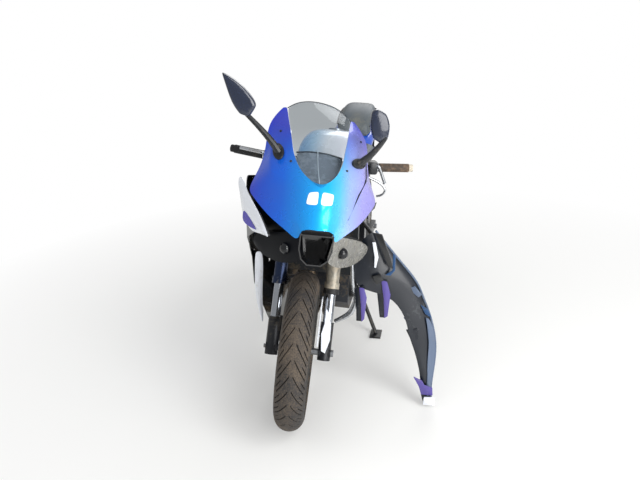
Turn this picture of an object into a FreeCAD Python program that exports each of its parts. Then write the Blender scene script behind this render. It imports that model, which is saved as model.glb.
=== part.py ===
import FreeCAD, Part
import os
from functools import lru_cache
from math import sin, cos, tan, radians, sqrt, pi, atan2

# Small faired sport bike after a crash, leaning on its side stand, steering turned a little to the left.
# Millimetres. The bike is drawn upright with its front facing -Y, +X to the rider's left and +Z up, the middle
# plane at X = 0 and the ground at Z = 0. The steered group is then turned about the steering axis, the bent nose
# group is turned about its stay, and the whole bike is leaned onto its side stand.

V = FreeCAD.Vector
LEFT = 1
RIGHT = -1

# Driving dimensions of the whole bike
WHEELBASE = 1380.0
RAKE_DEG = 25.0
TRAIL = 95.0
LEAN_DEG = 5.0
STEER_REST_DEG = 8.5
NOSE_YAW_DEG = 14.5
NOSE_ROLL_DEG = 5.0
FRONT_AXLE_Y = -WHEELBASE / 2
REAR_AXLE_Y = WHEELBASE / 2

# Wheels
RIM_R = 218.0
FRONT_TYRE_HEIGHT = 75.0
FRONT_TYRE_R = RIM_R + FRONT_TYRE_HEIGHT
FRONT_TYRE_WIDTH = 110.0
FRONT_CROWN_R = 55.0
REAR_TYRE_HEIGHT = 96.0
REAR_TYRE_R = RIM_R + REAR_TYRE_HEIGHT
REAR_TYRE_WIDTH = 140.0
REAR_CROWN_R = 76.0
FRONT_RIM_WIDTH = 84.0
REAR_RIM_WIDTH = 112.0
HUB_R = 34.0
FRONT_HUB_WIDTH = 92.0
REAR_HUB_WIDTH = 120.0
SPOKE_COUNT = 10
SPOKE_SPLAY_DEG = 13.0
FLANGE = 9.0
LIP_HEIGHT = 11.0
TYRE_WALL = 9.0
BEAD_GAP = 0.3
AXLE_R = 7.5
BEARING_GAP = 0.05

# Brakes
FRONT_DISC_R = 149.0
REAR_DISC_R = 110.0
DISC_THICK = 4.5
PAD_GAP = 0.8

# Fork and clamps
FORK_SPREAD = 98.0
FORK_OUTER_R = 25.0
FORK_INNER_R = 18.5
FORK_FOOT_R = 24.0
FORK_FOOT_TOP = 112.0
FORK_SEAL_AT = 235.0
FORK_TOP = 716.0
LOWER_CLAMP_AT = 493.0
UPPER_CLAMP_AT = 668.0
LOWER_CLAMP_THICK = 30.0
UPPER_CLAMP_THICK = 22.0
CLAMP_WALL = 9.0
STEM_R = 15.0
HEAD_TUBE_R = 31.0
HEAD_GAP = 2.0
FIT = 0.05

# Chain drive
CHAIN_X = 86.0
CHAIN_WIDTH = 12.0
CHAIN_PITCH = 15.875
REAR_TEETH = 44
FRONT_TEETH = 14
SPROCKET_THICK = 6.0
CHAIN_HALF = 4.0
CHAIN_WAIST = 2.6
CHAIN_GAP = 0.8
OUTPUT_CLEAR = 0.6

# Frame and swingarm
PLATE_X = 100.0
ARM_OUT_X = 126.0
ARM_THICK = 26.0
SPOOL_AT = (640.0, 322.0)
SPOOL_BORE_R = 4.2
HANGER_X = 100.0
CASE_X = 112.0
ENGINE_BOSS_X = 98.0
STAY_FRONT_Y = -470.0
FACE_GAP = 0.3
STAND_BOLT_R = 6.0

# Body panels
PANEL_WALL = 3.0
SCREEN_WALL = 2.5

rake = radians(RAKE_DEG)
STEER_DIR = V(0, sin(rake), cos(rake))
AHEAD_DIR = V(0, -cos(rake), sin(rake))
STEER_FOOT = V(0, FRONT_AXLE_Y - TRAIL, 0)
FRONT_AXLE = V(0, FRONT_AXLE_Y, FRONT_TYRE_R)
REAR_AXLE = V(0, REAR_AXLE_Y, REAR_TYRE_R)
AXLE_ALONG = (FRONT_AXLE - STEER_FOOT).dot(STEER_DIR)
FORK_OFFSET = (FRONT_AXLE - STEER_FOOT).dot(AHEAD_DIR)


def vec(point):
    return V(*point)


def rod(start, end, radius):
    run = vec(end) - vec(start)
    return Part.makeCylinder(radius, run.Length, vec(start), run)


def cylinder_x(x0, x1, y, z, radius):
    return Part.makeCylinder(radius, x1 - x0, V(x0, y, z), V(1, 0, 0))


def box(x0, x1, y0, y1, z0, z1):
    return Part.makeBox(x1 - x0, y1 - y0, z1 - z0, V(x0, y0, z0))


def fuse(shapes):
    joined = shapes[0]
    if len(shapes) > 1:
        joined = shapes[0].fuse(shapes[1:])
    return joined.removeSplitter()


def mirror_x(shape):
    return shape.mirror(V(0, 0, 0), V(1, 0, 0))


def side_profile(points, x0, x1):
    """A closed outline of (y, z) points drawn in the side view and extruded across the bike."""
    corners = [V(x0, y, z) for y, z in points]
    face = Part.Face(Part.makePolygon(corners + corners[:1]))
    return face.extrude(V(x1 - x0, 0, 0))


def top_profile(points, z0, z1):
    """A closed outline of (x, y) points drawn in the top view and extruded upward."""
    corners = [V(x, y, z0) for x, y in points]
    face = Part.Face(Part.makePolygon(corners + corners[:1]))
    return face.extrude(V(0, 0, z1 - z0))


def route(points, bend_share=0.4):
    """Straight runs joined by tangent arcs, each arc reaching bend_share of its shorter run."""
    nodes = [vec(p) for p in points]
    edges = []
    start = nodes[0]
    for before, corner, after in zip(nodes, nodes[1:], nodes[2:]):
        back = (before - corner).normalize()
        on = (after - corner).normalize()
        reach = bend_share * min((before - corner).Length, (after - corner).Length)
        a = corner + back * reach
        b = corner + on * reach
        half = back.getAngle(on) / 2
        middle_dir = (back + on).normalize()
        radius = reach * tan(half)
        centre = corner + middle_dir * (reach / cos(half))
        middle = centre - middle_dir * radius
        edges.append(Part.makeLine(start, a))
        edges.append(Part.Arc(a, middle, b).toShape())
        start = b
    edges.append(Part.makeLine(start, nodes[-1]))
    return Part.Wire(edges)


def bent_tube(points, radius, bend_share=0.4):
    path = route(points, bend_share)
    start = vec(points[0])
    ring = Part.Wire(Part.makeCircle(radius, start, vec(points[1]) - start))
    return path.makePipeShell([ring], True, False)


def pitch_radius(teeth):
    return CHAIN_PITCH / 2 / sin(pi / teeth)


def biggest(shape):
    return max(shape.Solids, key=lambda solid: solid.Volume)


def stub(start, end, radius, skin):
    """A bracket's rod from its start as far as the inner face of a panel."""
    pieces = rod(start, end, radius).cut(skin).Solids
    return min(pieces, key=lambda solid: (solid.CenterOfMass - vec(start)).Length)


def ruled_loft(sections):
    return Part.makeLoft([Part.makePolygon(s + s[:1]) for s in sections], True, True)


def inward(points, wall):
    """Points of an open (a, b) outline moved by the wall to its right-hand side, mitred at the corners."""
    moved = []
    for i, (a, b) in enumerate(points):
        turns = []
        if i > 0:
            turns.append((a - points[i - 1][0], b - points[i - 1][1]))
        if i < len(points) - 1:
            turns.append((points[i + 1][0] - a, points[i + 1][1] - b))
        normals = []
        for da, db in turns:
            length = sqrt(da * da + db * db)
            normals.append((db / length, -da / length))
        na = sum(n[0] for n in normals) / len(normals)
        nb = sum(n[1] for n in normals) / len(normals)
        size = na * na + nb * nb
        moved.append((a + wall * na / size, b + wall * nb / size))
    return moved


def panel(stations, wall):
    """A thin panel through outlines of (x, z) points at y stations; its wall lies to the outline's right."""
    sections = []
    for y, points in stations:
        loop = list(points) + inward(points, wall)[::-1]
        sections.append([V(x, y, z) for x, z in loop])
    return ruled_loft(sections)


def on_steering(along, ahead=0.0, side=0.0):
    """A point by its distance up the steering axis, ahead of it and to the rider's left of it."""
    return STEER_FOOT + STEER_DIR * along + AHEAD_DIR * ahead + V(side, 0, 0)


def on_fork(along, side, ahead=0.0):
    """A point on a fork leg's centre line, by its distance up from the front axle."""
    return on_steering(AXLE_ALONG + along, FORK_OFFSET + ahead, side * FORK_SPREAD)


# Wheels: tyre, rim and disc are turned about an axle along X at the origin, then set on their axle.


CROWN_ANGLES_DEG = (0, 14, 30, 48, 70)


def crown_rings(outer_r, crown_r):
    """Half of the tread's section as (x, r) points on its crown arc, from the middle to the shoulder."""
    points = []
    for angle in CROWN_ANGLES_DEG:
        a = radians(angle)
        points.append((crown_r * sin(a), outer_r - crown_r * (1 - cos(a))))
    return points


def tyre(outer_r, width, crown_r, rim_width):
    """The tread follows the crown arc; the sidewalls run down between the rim's flanges."""
    half = width / 2
    bead_x = rim_width / 2 - FLANGE - BEAD_GAP
    bead_r = RIM_R + BEAD_GAP
    lip_r = RIM_R + LIP_HEIGHT
    crown = [(x, r) for x, r in crown_rings(outer_r, crown_r) if x < half - 1]
    belly_r = lip_r + 0.45 * (crown[-1][1] - lip_r)
    right = crown + [(half, belly_r), (bead_x, lip_r), (bead_x, bead_r)]
    inside = [(bead_x - TYRE_WALL, bead_r), (half - TYRE_WALL, belly_r), (crown[2][0], crown[2][1] - TYRE_WALL)]
    outline = right + inside + [(-x, r) for x, r in inside[::-1]] + [(-x, r) for x, r in right[:0:-1]]
    corners = [V(x, r, 0) for x, r in outline]
    return Part.Face(Part.makePolygon(corners + corners[:1])).revolve(V(0, 0, 0), V(1, 0, 0), 360)


def rim(width, hub_width, spoke_thick):
    """Cast rim: a dished barrel with flanges, paired spokes and a bored hub."""
    half = width / 2
    lip = RIM_R + LIP_HEIGHT
    drop = RIM_R - 18.0
    outline = [
        (-half, lip), (-half + 5, lip), (-half + FLANGE, RIM_R), (-half + 22, RIM_R - 4), (-half + 28, drop),
        (half - 28, drop), (half - 22, RIM_R - 4), (half - FLANGE, RIM_R), (half - 5, lip), (half, lip),
        (half, RIM_R - 8), (half - 24, drop - 7), (-half + 24, drop - 7), (-half, RIM_R - 8),
    ]
    corners = [V(x, r, 0) for x, r in outline]
    barrel = Part.Face(Part.makePolygon(corners + corners[:1])).revolve(V(0, 0, 0), V(1, 0, 0), 360)
    hub = cylinder_x(-hub_width / 2, hub_width / 2, 0, 0, HUB_R)
    spokes = []
    for i in range(SPOKE_COUNT):
        splay = SPOKE_SPLAY_DEG if i % 2 else -SPOKE_SPLAY_DEG
        angle = 360.0 / (SPOKE_COUNT / 2) * (i // 2) + splay
        arm = Part.makeLoft([
            spoke_section(HUB_R - 6, 13.0, spoke_thick),
            spoke_section(drop - 3, 9.0, spoke_thick * 0.72),
        ], True, True)
        arm.rotate(V(0, 0, 0), V(1, 0, 0), angle)
        spokes.append(arm)
    body = fuse([barrel, hub] + spokes)
    return body.cut(cylinder_x(-hub_width, hub_width, 0, 0, AXLE_R + BEARING_GAP))


def spoke_section(radius, half_width, thick):
    corners = [V(x, y, radius) for x, y in
               ((-thick / 2, -half_width), (thick / 2, -half_width), (thick / 2, half_width), (-thick / 2, half_width))]
    return Part.makePolygon(corners + corners[:1])


def disc(outer_r, inner_r, x0):
    """Brake disc: ring with a five-armed carrier bolted to the hub's end."""
    ring = cylinder_x(x0, x0 + DISC_THICK, 0, 0, outer_r).cut(cylinder_x(x0 - 1, x0 + DISC_THICK + 1, 0, 0, inner_r))
    carrier = cylinder_x(x0, x0 + DISC_THICK, 0, 0, HUB_R + 6)
    arms = []
    for i in range(5):
        arm = box(x0, x0 + DISC_THICK, -8, 8, 0, inner_r + 4)
        arm.rotate(V(0, 0, 0), V(1, 0, 0), 72.0 * i)
        arms.append(arm)
    body = fuse([ring, carrier] + arms)
    return body.cut(cylinder_x(x0 - 1, x0 + DISC_THICK + 1, 0, 0, AXLE_R + 6))


def set_on(shape, axle):
    shape.translate(axle)
    return shape


DISC_FRONT_X = -(FRONT_HUB_WIDTH / 2 + DISC_THICK)
DISC_REAR_X = -(REAR_HUB_WIDTH / 2 + DISC_THICK)
SPROCKET_X = CHAIN_X - SPROCKET_THICK / 2
FRONT_SPROCKET = V(0, 62.0, 352.0)


def rear_sprocket():
    """Toothed ring on the left end of the rear hub, with lightening holes and a spacer to the hub."""
    tip_r = pitch_radius(REAR_TEETH)
    root_r = tip_r - 5.0
    corners = []
    for i in range(REAR_TEETH):
        for share, radius in ((0.0, root_r), (0.3, root_r), (0.45, tip_r), (0.7, tip_r)):
            angle = 2 * pi * (i + share) / REAR_TEETH
            corners.append(V(SPROCKET_X, radius * cos(angle), radius * sin(angle)))
    body = Part.Face(Part.makePolygon(corners + corners[:1])).extrude(V(SPROCKET_THICK, 0, 0))
    body = body.fuse(cylinder_x(REAR_HUB_WIDTH / 2, SPROCKET_X, 0, 0, 52))
    holes = [cylinder_x(0, 200, 76 * cos(k * pi / 4), 76 * sin(k * pi / 4), 14) for k in range(8)]
    holes.append(cylinder_x(0, 200, 0, 0, AXLE_R + 8))
    return body.cut(holes).removeSplitter()


def chain():
    """Drive chain as one loop round both sprockets: its outline is waisted between the pins."""
    rear_r = pitch_radius(REAR_TEETH) + CHAIN_HALF + CHAIN_GAP
    front_r = pitch_radius(FRONT_TEETH) + CHAIN_HALF + CHAIN_GAP
    run = REAR_AXLE - FRONT_SPROCKET
    reach = sqrt(run.y ** 2 + run.z ** 2)
    straight = sqrt(reach ** 2 - (rear_r - front_r) ** 2)
    tilt = atan2(run.z, run.y)
    spread = atan2(rear_r - front_r, straight)
    up = tilt + pi / 2 + spread
    down = tilt - pi / 2 - spread
    rear_arc = rear_r * (pi + 2 * spread)
    total = 2 * straight + rear_arc + front_r * (pi - 2 * spread)
    links = int(round(total / (2 * CHAIN_PITCH)))
    step = total / links

    def round_sprocket(centre, radius, angle, off):
        return (centre.y + (radius + off) * cos(angle), centre.z + (radius + off) * sin(angle))

    def along_run(centre, radius, angle, off, s, way):
        y, z = round_sprocket(centre, radius, angle, off)
        return (y + way * s * sin(angle), z - way * s * cos(angle))

    def place(s, off):
        if s < straight:
            return along_run(FRONT_SPROCKET, front_r, up, off, s, 1)
        s -= straight
        if s < rear_arc:
            return round_sprocket(REAR_AXLE, rear_r, up - s / rear_r, off)
        s -= rear_arc
        if s < straight:
            return along_run(REAR_AXLE, rear_r, down, off, s, 1)
        return round_sprocket(FRONT_SPROCKET, front_r, down - (s - straight) / front_r, off)

    faces = []
    for way in (1, -1):
        ring = []
        for i in range(links):
            for share, half in ((0.0, CHAIN_WAIST), (0.22, CHAIN_HALF), (0.78, CHAIN_HALF)):
                y, z = place((i + share) * step, way * half)
                ring.append(V(CHAIN_X - CHAIN_WIDTH / 2, y, z))
        faces.append(Part.Face(Part.makePolygon(ring + ring[:1])))
    return faces[0].cut(faces[1]).Faces[0].extrude(V(CHAIN_WIDTH, 0, 0))


# Steering: stem and clamps, fork, bars


def clamp_plate(along, thick):
    """Clamp: bosses for both fork legs and the stem, joined by a web, square to the steering axis."""
    base = AXLE_ALONG + along - thick / 2
    leg_r = FORK_OUTER_R + CLAMP_WALL
    parts = [Part.makeCylinder(STEM_R + CLAMP_WALL, thick, on_steering(base), STEER_DIR)]
    for side in (LEFT, RIGHT):
        parts.append(Part.makeCylinder(leg_r, thick, on_steering(base, FORK_OFFSET, side * FORK_SPREAD), STEER_DIR))
    web = [(FORK_SPREAD, FORK_OFFSET + leg_r), (-FORK_SPREAD, FORK_OFFSET + leg_r),
           (-FORK_SPREAD, FORK_OFFSET - leg_r), (-STEM_R, -STEM_R - CLAMP_WALL),
           (STEM_R, -STEM_R - CLAMP_WALL), (FORK_SPREAD, FORK_OFFSET - leg_r)]
    corners = [on_steering(base, ahead, side) for side, ahead in web]
    parts.append(Part.Face(Part.makePolygon(corners + corners[:1])).extrude(STEER_DIR * thick))
    body = fuse(parts)
    for side in (LEFT, RIGHT):
        leg = on_steering(base - 5, FORK_OFFSET, side * FORK_SPREAD)
        body = body.cut(Part.makeCylinder(FORK_OUTER_R + FIT, thick + 10, leg, STEER_DIR))
    return body


def steering_stem():
    low = AXLE_ALONG + LOWER_CLAMP_AT
    high = AXLE_ALONG + UPPER_CLAMP_AT
    stem = Part.makeCylinder(STEM_R, high - low, on_steering(low), STEER_DIR)
    nut = Part.makeCylinder(STEM_R + 4, 10, on_steering(high + UPPER_CLAMP_THICK / 2 - 1), STEER_DIR)
    return fuse([clamp_plate(LOWER_CLAMP_AT, LOWER_CLAMP_THICK), clamp_plate(UPPER_CLAMP_AT, UPPER_CLAMP_THICK),
                 stem, nut])


def fork_outer(side):
    tube = Part.makeCylinder(FORK_OUTER_R, FORK_TOP - FORK_SEAL_AT, on_fork(FORK_SEAL_AT, side), STEER_DIR)
    collar = Part.makeCylinder(FORK_OUTER_R + 3, 26, on_fork(FORK_SEAL_AT, side), STEER_DIR)
    bore = Part.makeCylinder(FORK_INNER_R + FIT, 250, on_fork(FORK_SEAL_AT - 1, side), STEER_DIR)
    return fuse([tube, collar]).cut(bore)


def fork_lower(side):
    inner = Part.makeCylinder(FORK_INNER_R, FORK_SEAL_AT + 180, on_fork(0, side), STEER_DIR)
    foot = Part.makeCylinder(FORK_FOOT_R, FORK_FOOT_TOP + 28, on_fork(-28, side), STEER_DIR)
    x_mid = side * FORK_SPREAD
    boss = cylinder_x(x_mid - 22, x_mid + 22, FRONT_AXLE.y, FRONT_AXLE.z, 21)
    body = fuse([inner, foot, boss])
    if side == RIGHT:
        lug_from = on_fork(40, side, -20)
        lug_to = on_fork(40, side, -58)
        body = body.fuse(rod(lug_from, lug_to, 11)).removeSplitter()
    return body.cut(cylinder_x(-200, 200, FRONT_AXLE.y, FRONT_AXLE.z, AXLE_R + FIT))


def front_axle():
    reach = FORK_SPREAD + 30
    pin = cylinder_x(-reach, reach, FRONT_AXLE.y, FRONT_AXLE.z, AXLE_R)
    head = cylinder_x(reach - 6, reach + 4, FRONT_AXLE.y, FRONT_AXLE.z, 13)
    spacer_in = FRONT_HUB_WIDTH / 2 + 1.0
    spacer_out = FORK_SPREAD - FORK_FOOT_R - FACE_GAP
    spacers = [cylinder_x(spacer_in, spacer_out, FRONT_AXLE.y, FRONT_AXLE.z, 12),
               cylinder_x(-spacer_out, -spacer_in - DISC_THICK, FRONT_AXLE.y, FRONT_AXLE.z, 12)]
    return fuse([pin, head] + spacers)


def front_caliper():
    """Two-piston caliper straddling the front disc behind the right fork leg."""
    centre = on_steering(AXLE_ALONG + 62, FORK_OFFSET - 108, 0)
    disc_mid = DISC_FRONT_X + DISC_THICK / 2
    outline = [(-44, -30), (-30, -42), (36, -38), (46, -20), (42, 32), (20, 44), (-34, 38), (-46, 16)]
    points = [(centre.y + a, centre.z + b) for a, b in outline]
    body = side_profile(points, disc_mid - 40, disc_mid + 22)
    slot_half = DISC_THICK / 2 + PAD_GAP
    slot = cylinder_x(disc_mid - slot_half, disc_mid + slot_half, FRONT_AXLE.y, FRONT_AXLE.z, FRONT_DISC_R + 4)
    body = body.cut(slot)
    arm_end = on_fork(40, RIGHT, -58)
    arm = rod((arm_end.x, arm_end.y, arm_end.z), (disc_mid - 30, centre.y - 6, centre.z - 4), 10)
    return fuse([body, arm.cut(fork_lower(RIGHT))])


BAR_AT = UPPER_CLAMP_AT + UPPER_CLAMP_THICK / 2 + 16.0
BAR_R = 11.0
GRIP_R = 16.5
BAR_END_X = 340.0
GRIP_FROM_X = 225.0


def bar_line(side):
    """Ends of one clip-on bar: it leaves its clamp on the fork leg and runs out, back and a little down."""
    clamp = on_fork(BAR_AT, side)
    inner = clamp + V(side * 8, 22, 0)
    outer = V(side * BAR_END_X, inner.y + 64, inner.z + 6)
    return inner, outer


def bar_point(side, x):
    inner, outer = bar_line(side)
    share = (x - abs(inner.x)) / (BAR_END_X - abs(inner.x))
    return inner + (outer - inner) * share


def handlebar(side):
    inner, outer = bar_line(side)
    tube = rod(inner, outer, BAR_R)
    clamp = Part.makeCylinder(FORK_OUTER_R + 8, 30, on_fork(BAR_AT - 15, side), STEER_DIR)
    body = fuse([tube, clamp])
    return body.cut(Part.makeCylinder(FORK_OUTER_R + FIT, 60, on_fork(BAR_AT - 30, side), STEER_DIR))


def grip(side):
    start = bar_point(side, GRIP_FROM_X)
    end = bar_point(side, BAR_END_X)
    direction = end - start
    sleeve = Part.makeCylinder(GRIP_R, direction.Length, start, direction)
    weight = Part.makeCylinder(GRIP_R - 2, 16, end, direction)
    return fuse([sleeve, weight]).cut(Part.makeCylinder(BAR_R + FIT, direction.Length, start, direction))


def control_lever(side):
    """Perch round the bar inside the grip, with its lever reaching out ahead of the grip."""
    base = bar_point(side, GRIP_FROM_X - 34)
    inner, outer = bar_line(side)
    direction = (outer - inner).normalize()
    perch = Part.makeCylinder(BAR_R + 8, 30, base, direction)
    perch = perch.cut(Part.makeCylinder(BAR_R + FIT, 34, base - direction * 2, direction))
    lever_from = base + direction * 14 + AHEAD_DIR * (BAR_R + 4)
    lever_mid = base + direction * 34 + AHEAD_DIR * (42 if side == RIGHT else 30)
    lever_to = bar_point(side, BAR_END_X - 28) + AHEAD_DIR * 48
    if side == LEFT:
        lever_to = bar_point(side, BAR_END_X - 84) + AHEAD_DIR * 16 + V(0, 0, -66)
    lever = bent_tube([tuple(lever_from), tuple(lever_mid), tuple(lever_to)], 6.0)
    return fuse([perch, lever])


# Transforms from the upright drawing to the bike as it stands


def turned(origin, axis, degrees_):
    return FreeCAD.Placement(V(0, 0, 0), FreeCAD.Rotation(axis, degrees_), origin)


STEER_TURN = turned(STEER_FOOT, STEER_DIR, STEER_REST_DEG)


def wheel_low(axle, turn, outer_r, crown_r, lean):
    """Lowest point of a leaned wheel, over the rings of its tread."""
    centre = lean.multVec(turn.multVec(axle))
    spin = lean.Rotation.multVec(turn.Rotation.multVec(V(1, 0, 0)))
    reach = sqrt(1 - spin.z ** 2)
    lows = []
    for x, r in crown_rings(outer_r, crown_r):
        for side in (LEFT, RIGHT):
            lows.append(centre.z + side * x * spin.z - r * reach)
    return centre.y, min(lows)


LEAN_TURN = turned(V(0, 0, 0), V(0, 1, 0), LEAN_DEG)
NO_TURN = FreeCAD.Placement()
front_y, front_z = wheel_low(FRONT_AXLE, STEER_TURN, FRONT_TYRE_R, FRONT_CROWN_R, LEAN_TURN)
rear_y, rear_z = wheel_low(REAR_AXLE, NO_TURN, REAR_TYRE_R, REAR_CROWN_R, LEAN_TURN)
pitch_rad = atan2(rear_z - front_z, rear_y - front_y)
PITCH_TURN = turned(V(0, front_y, front_z), V(1, 0, 0), -pitch_rad * 180 / pi)
LIFT = FreeCAD.Placement(V(0, 0, -front_z), FreeCAD.Rotation())
STAND_PLACE = LIFT.multiply(PITCH_TURN.multiply(LEAN_TURN))
NOSE_PIVOT = V(0, -450, 860)
NOSE_TURN = turned(NOSE_PIVOT, V(0, 0, 1), NOSE_YAW_DEG).multiply(turned(NOSE_PIVOT, V(0, 1, 0), NOSE_ROLL_DEG))


def to_upright(point):
    """The upright drawing's point for a point of the bike as it stands."""
    return STAND_PLACE.inverse().multVec(vec(point))


# Frame, engine and running gear

SWING_PIVOT = V(0, 165.0, 350.0)
HEAD_LOW = AXLE_ALONG + LOWER_CLAMP_AT + LOWER_CLAMP_THICK / 2 + HEAD_GAP
HEAD_HIGH = AXLE_ALONG + UPPER_CLAMP_AT - UPPER_CLAMP_THICK / 2 - HEAD_GAP
STAND_PIVOT = V(136.0, 40.0, 215.0)
STAND_FOOT = V(238.0, -30.0, 0.0)
STAND_AXIS = V(0.98, 0.157, 0.124).normalize()
STAND_BOSS_R = 15.0
STAND_BOSS_HALF = 8.0


@lru_cache
def main_frame():
    """Head tube, two pressed spars, pivot plates, cross tubes, hangers and the tail's rails, welded in one."""
    head = Part.makeCylinder(HEAD_TUBE_R, HEAD_HIGH - HEAD_LOW, on_steering(HEAD_LOW), STEER_DIR)
    side_view = [(-424, 776), (-392, 866), (-250, 835), (-60, 760), (90, 690), (160, 560), (215, 400), (205, 296),
                 (190, 284), (116, 284), (116, 450), (80, 560), (0, 632), (-180, 690), (-400, 762)]
    plan_view = [(0, -424), (34, -418), (68, -370), (126, -260), (140, -60), (132, 220),
                 (PLATE_X, 220), (PLATE_X, 100), (112, -60), (100, -250), (50, -350), (0, -372)]
    spar = side_profile(side_view, 0, 200).common(top_profile(plan_view, 200, 900))
    parts = [head, spar, mirror_x(spar)]
    parts.append(box(-12, 12, STAY_FRONT_Y, -395, 822, 872))
    parts.append(cylinder_x(-112, 112, 60, 650, 15))
    parts.append(cylinder_x(-112, 112, 146, 464, 12))
    for side in (LEFT, RIGHT):
        parts.append(bent_tube([(side * 118, 40, 684), (side * 104, 300, 742), (side * 84, 560, 826),
                                (side * 60, 880, 892)], 11))
        parts.append(rod((side * 116, 182, 470), (side * 88, 540, 806), 10))
        x0, x1 = sorted((side * HANGER_X, side * (HANGER_X + 7)))
        parts.append(side_profile([(392, 676), (440, 700), (470, 560), (520, 440), (500, 416), (420, 520)], x0, x1))
        x0, x1 = sorted((side * ENGINE_BOSS_X, side * (ENGINE_BOSS_X + 7)))
        parts.append(side_profile([(-230, 720), (-120, 700), (-150, 560), (-186, 556)], x0, x1))
        ear = side_profile([(-335, 790), (-285, 790), (-316, 640), (-345, 640)], 84, 91)
        parts.append((ear if side == LEFT else mirror_x(ear)).cut(radiator()))
    parts.append(cylinder_x(-84, 84, 560, 826, 9))
    parts.append(rod((-60, 872, 890), (60, 872, 890), 9))
    lug_end = STAND_PIVOT - STAND_AXIS * (STAND_BOSS_HALF + FACE_GAP)
    parts.append(Part.makeCylinder(STAND_BOSS_R + 2, 10, lug_end - STAND_AXIS * 10, STAND_AXIS))
    parts.append(top_profile([(CASE_X + 1, 34), (124, 34), (124, 140), (CASE_X + 1, 140)], 206, 240))
    parts.append(box(CASE_X + 1, 124, 112, 140, 206, 300))
    parts.append(stub((-118, -150, 735), (-240, -150, 730), 8, side_fairing_right()))
    parts.append(stub((92, -300, 770), (262, -566, 706), 8, side_fairing_left()))
    body = fuse(parts)
    body = body.cut(Part.makeCylinder(STEM_R + BEARING_GAP, 400, on_steering(HEAD_LOW - 50), STEER_DIR))
    bolt = cylinder_x(-138, 138, SWING_PIVOT.y, SWING_PIVOT.z, 9)
    stand_bolt = Part.makeCylinder(STAND_BOLT_R, 2 * STAND_BOSS_HALF + 12, lug_end - STAND_AXIS * 8, STAND_AXIS)
    return fuse([body, bolt, stand_bolt])


@lru_cache
def engine():
    """Forward-leaning parallel twin: crankcase, finned cylinder block and head in one block."""
    case = side_profile([(-180, 250), (-188, 340), (-150, 440), (-70, 462), (90, 446), (115, 402), (115, 250),
                         (86, 196), (-110, 186)], -CASE_X, CASE_X)
    case = case.cut(box(CHAIN_X - 12, 200, FRONT_SPROCKET.y - 52, 200, FRONT_SPROCKET.z - 56, FRONT_SPROCKET.z + 56))
    output = cylinder_x(CHAIN_X - 20, CHAIN_X + 4, FRONT_SPROCKET.y, FRONT_SPROCKET.z,
                        pitch_radius(FRONT_TEETH) - OUTPUT_CLEAR)
    rear_bosses = [cylinder_x(-PLATE_X, PLATE_X - 60, 126, z, 14) for z in (300, 398)]
    rear_bosses += [stub((-100, -140, 330), (-240, -140, 330), 8, side_fairing_right())]
    lean = turned(V(0, -95, 430), V(1, 0, 0), 20)
    parts = [box(-94, 94, -170, -22, 420, 560), box(-94, 94, -176, -16, 560, 640), box(-88, 88, -160, -34, 640, 668)]
    for i in range(5):
        parts.append(box(-98, 98, -176, -16, 450 + i * 20, 456 + i * 20))
    parts.append(cylinder_x(-ENGINE_BOSS_X, ENGINE_BOSS_X, -110, 600, 14))
    top = fuse(parts)
    top.Placement = lean.multiply(top.Placement)
    return fuse([case, top, output] + rear_bosses)


def engine_covers():
    clutch = fuse([cylinder_x(-146, -CASE_X, 30, 300, 72), cylinder_x(-152, -146, 30, 300, 58)])
    generator = fuse([cylinder_x(CASE_X, 142, -80, 300, 62), cylinder_x(142, 150, -80, 300, 46)])
    sprocket_cover = side_profile([(10, 300), (10, 400), (90, 410), (112, 380), (112, 310), (80, 288)], CASE_X, 128)
    return [clutch, generator, sprocket_cover]


@lru_cache
def radiator():
    core = box(-140, 140, -22, 4, -120, 120)
    tanks = [box(-162, -140, -24, 8, -124, 124), box(140, 162, -24, 8, -124, 124)]
    body = fuse([core] + tanks)
    body.Placement = FreeCAD.Placement(V(0, -305, 560), FreeCAD.Rotation(V(1, 0, 0), 14))
    return body


def exhaust_headers():
    tubes = []
    for x in (-46, 46):
        tubes.append(bent_tube([(x, -190, 600), (x, -252, 545), (x * 0.8, -228, 150), (-62, 120, 150)], 17, 0.45))
    collector = rod((-62, 90, 149), (-62, 240, 160), 30)
    link = bent_tube([(-62, 220, 158), (-110, 320, 200), (-188, 410, 291)], 20)
    return fuse(tubes + [collector, link]).cut([engine(), muffler()])


@lru_cache
def muffler():
    """Tapered six-sided silencer on the right with an end cap and outlet, bolted to the right hanger."""
    start = V(-190, 400, 288)
    end = V(-200, 800, 484)
    run = end - start
    turn = FreeCAD.Rotation(V(0, 0, 1), run)
    sections = []
    for share, half_w, half_h in ((0.0, 34, 34), (0.12, 46, 60), (0.9, 46, 64), (1.0, 38, 52)):
        outline = [(-half_w, -half_h * 0.5), (-half_w * 0.5, -half_h), (half_w * 0.5, -half_h), (half_w, -half_h * 0.5),
                   (half_w, half_h * 0.5), (half_w * 0.5, half_h), (-half_w * 0.5, half_h), (-half_w, half_h * 0.5)]
        sections.append([start + turn.multVec(V(a, b, run.Length * share)) for a, b in outline])
    body = ruled_loft(sections)
    outlet = rod(tuple(end - run * 0.05), tuple(end + run * 0.03), 24)
    outlet = outlet.cut(rod(tuple(end - run * 0.04), tuple(end + run * 0.04), 20))
    tab = cylinder_x(-170, -HANGER_X - 7, 500, 440, 10)
    post = box(-180, -160, 488, 512, 330, 452)
    return fuse([body, outlet, tab, post])


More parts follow.
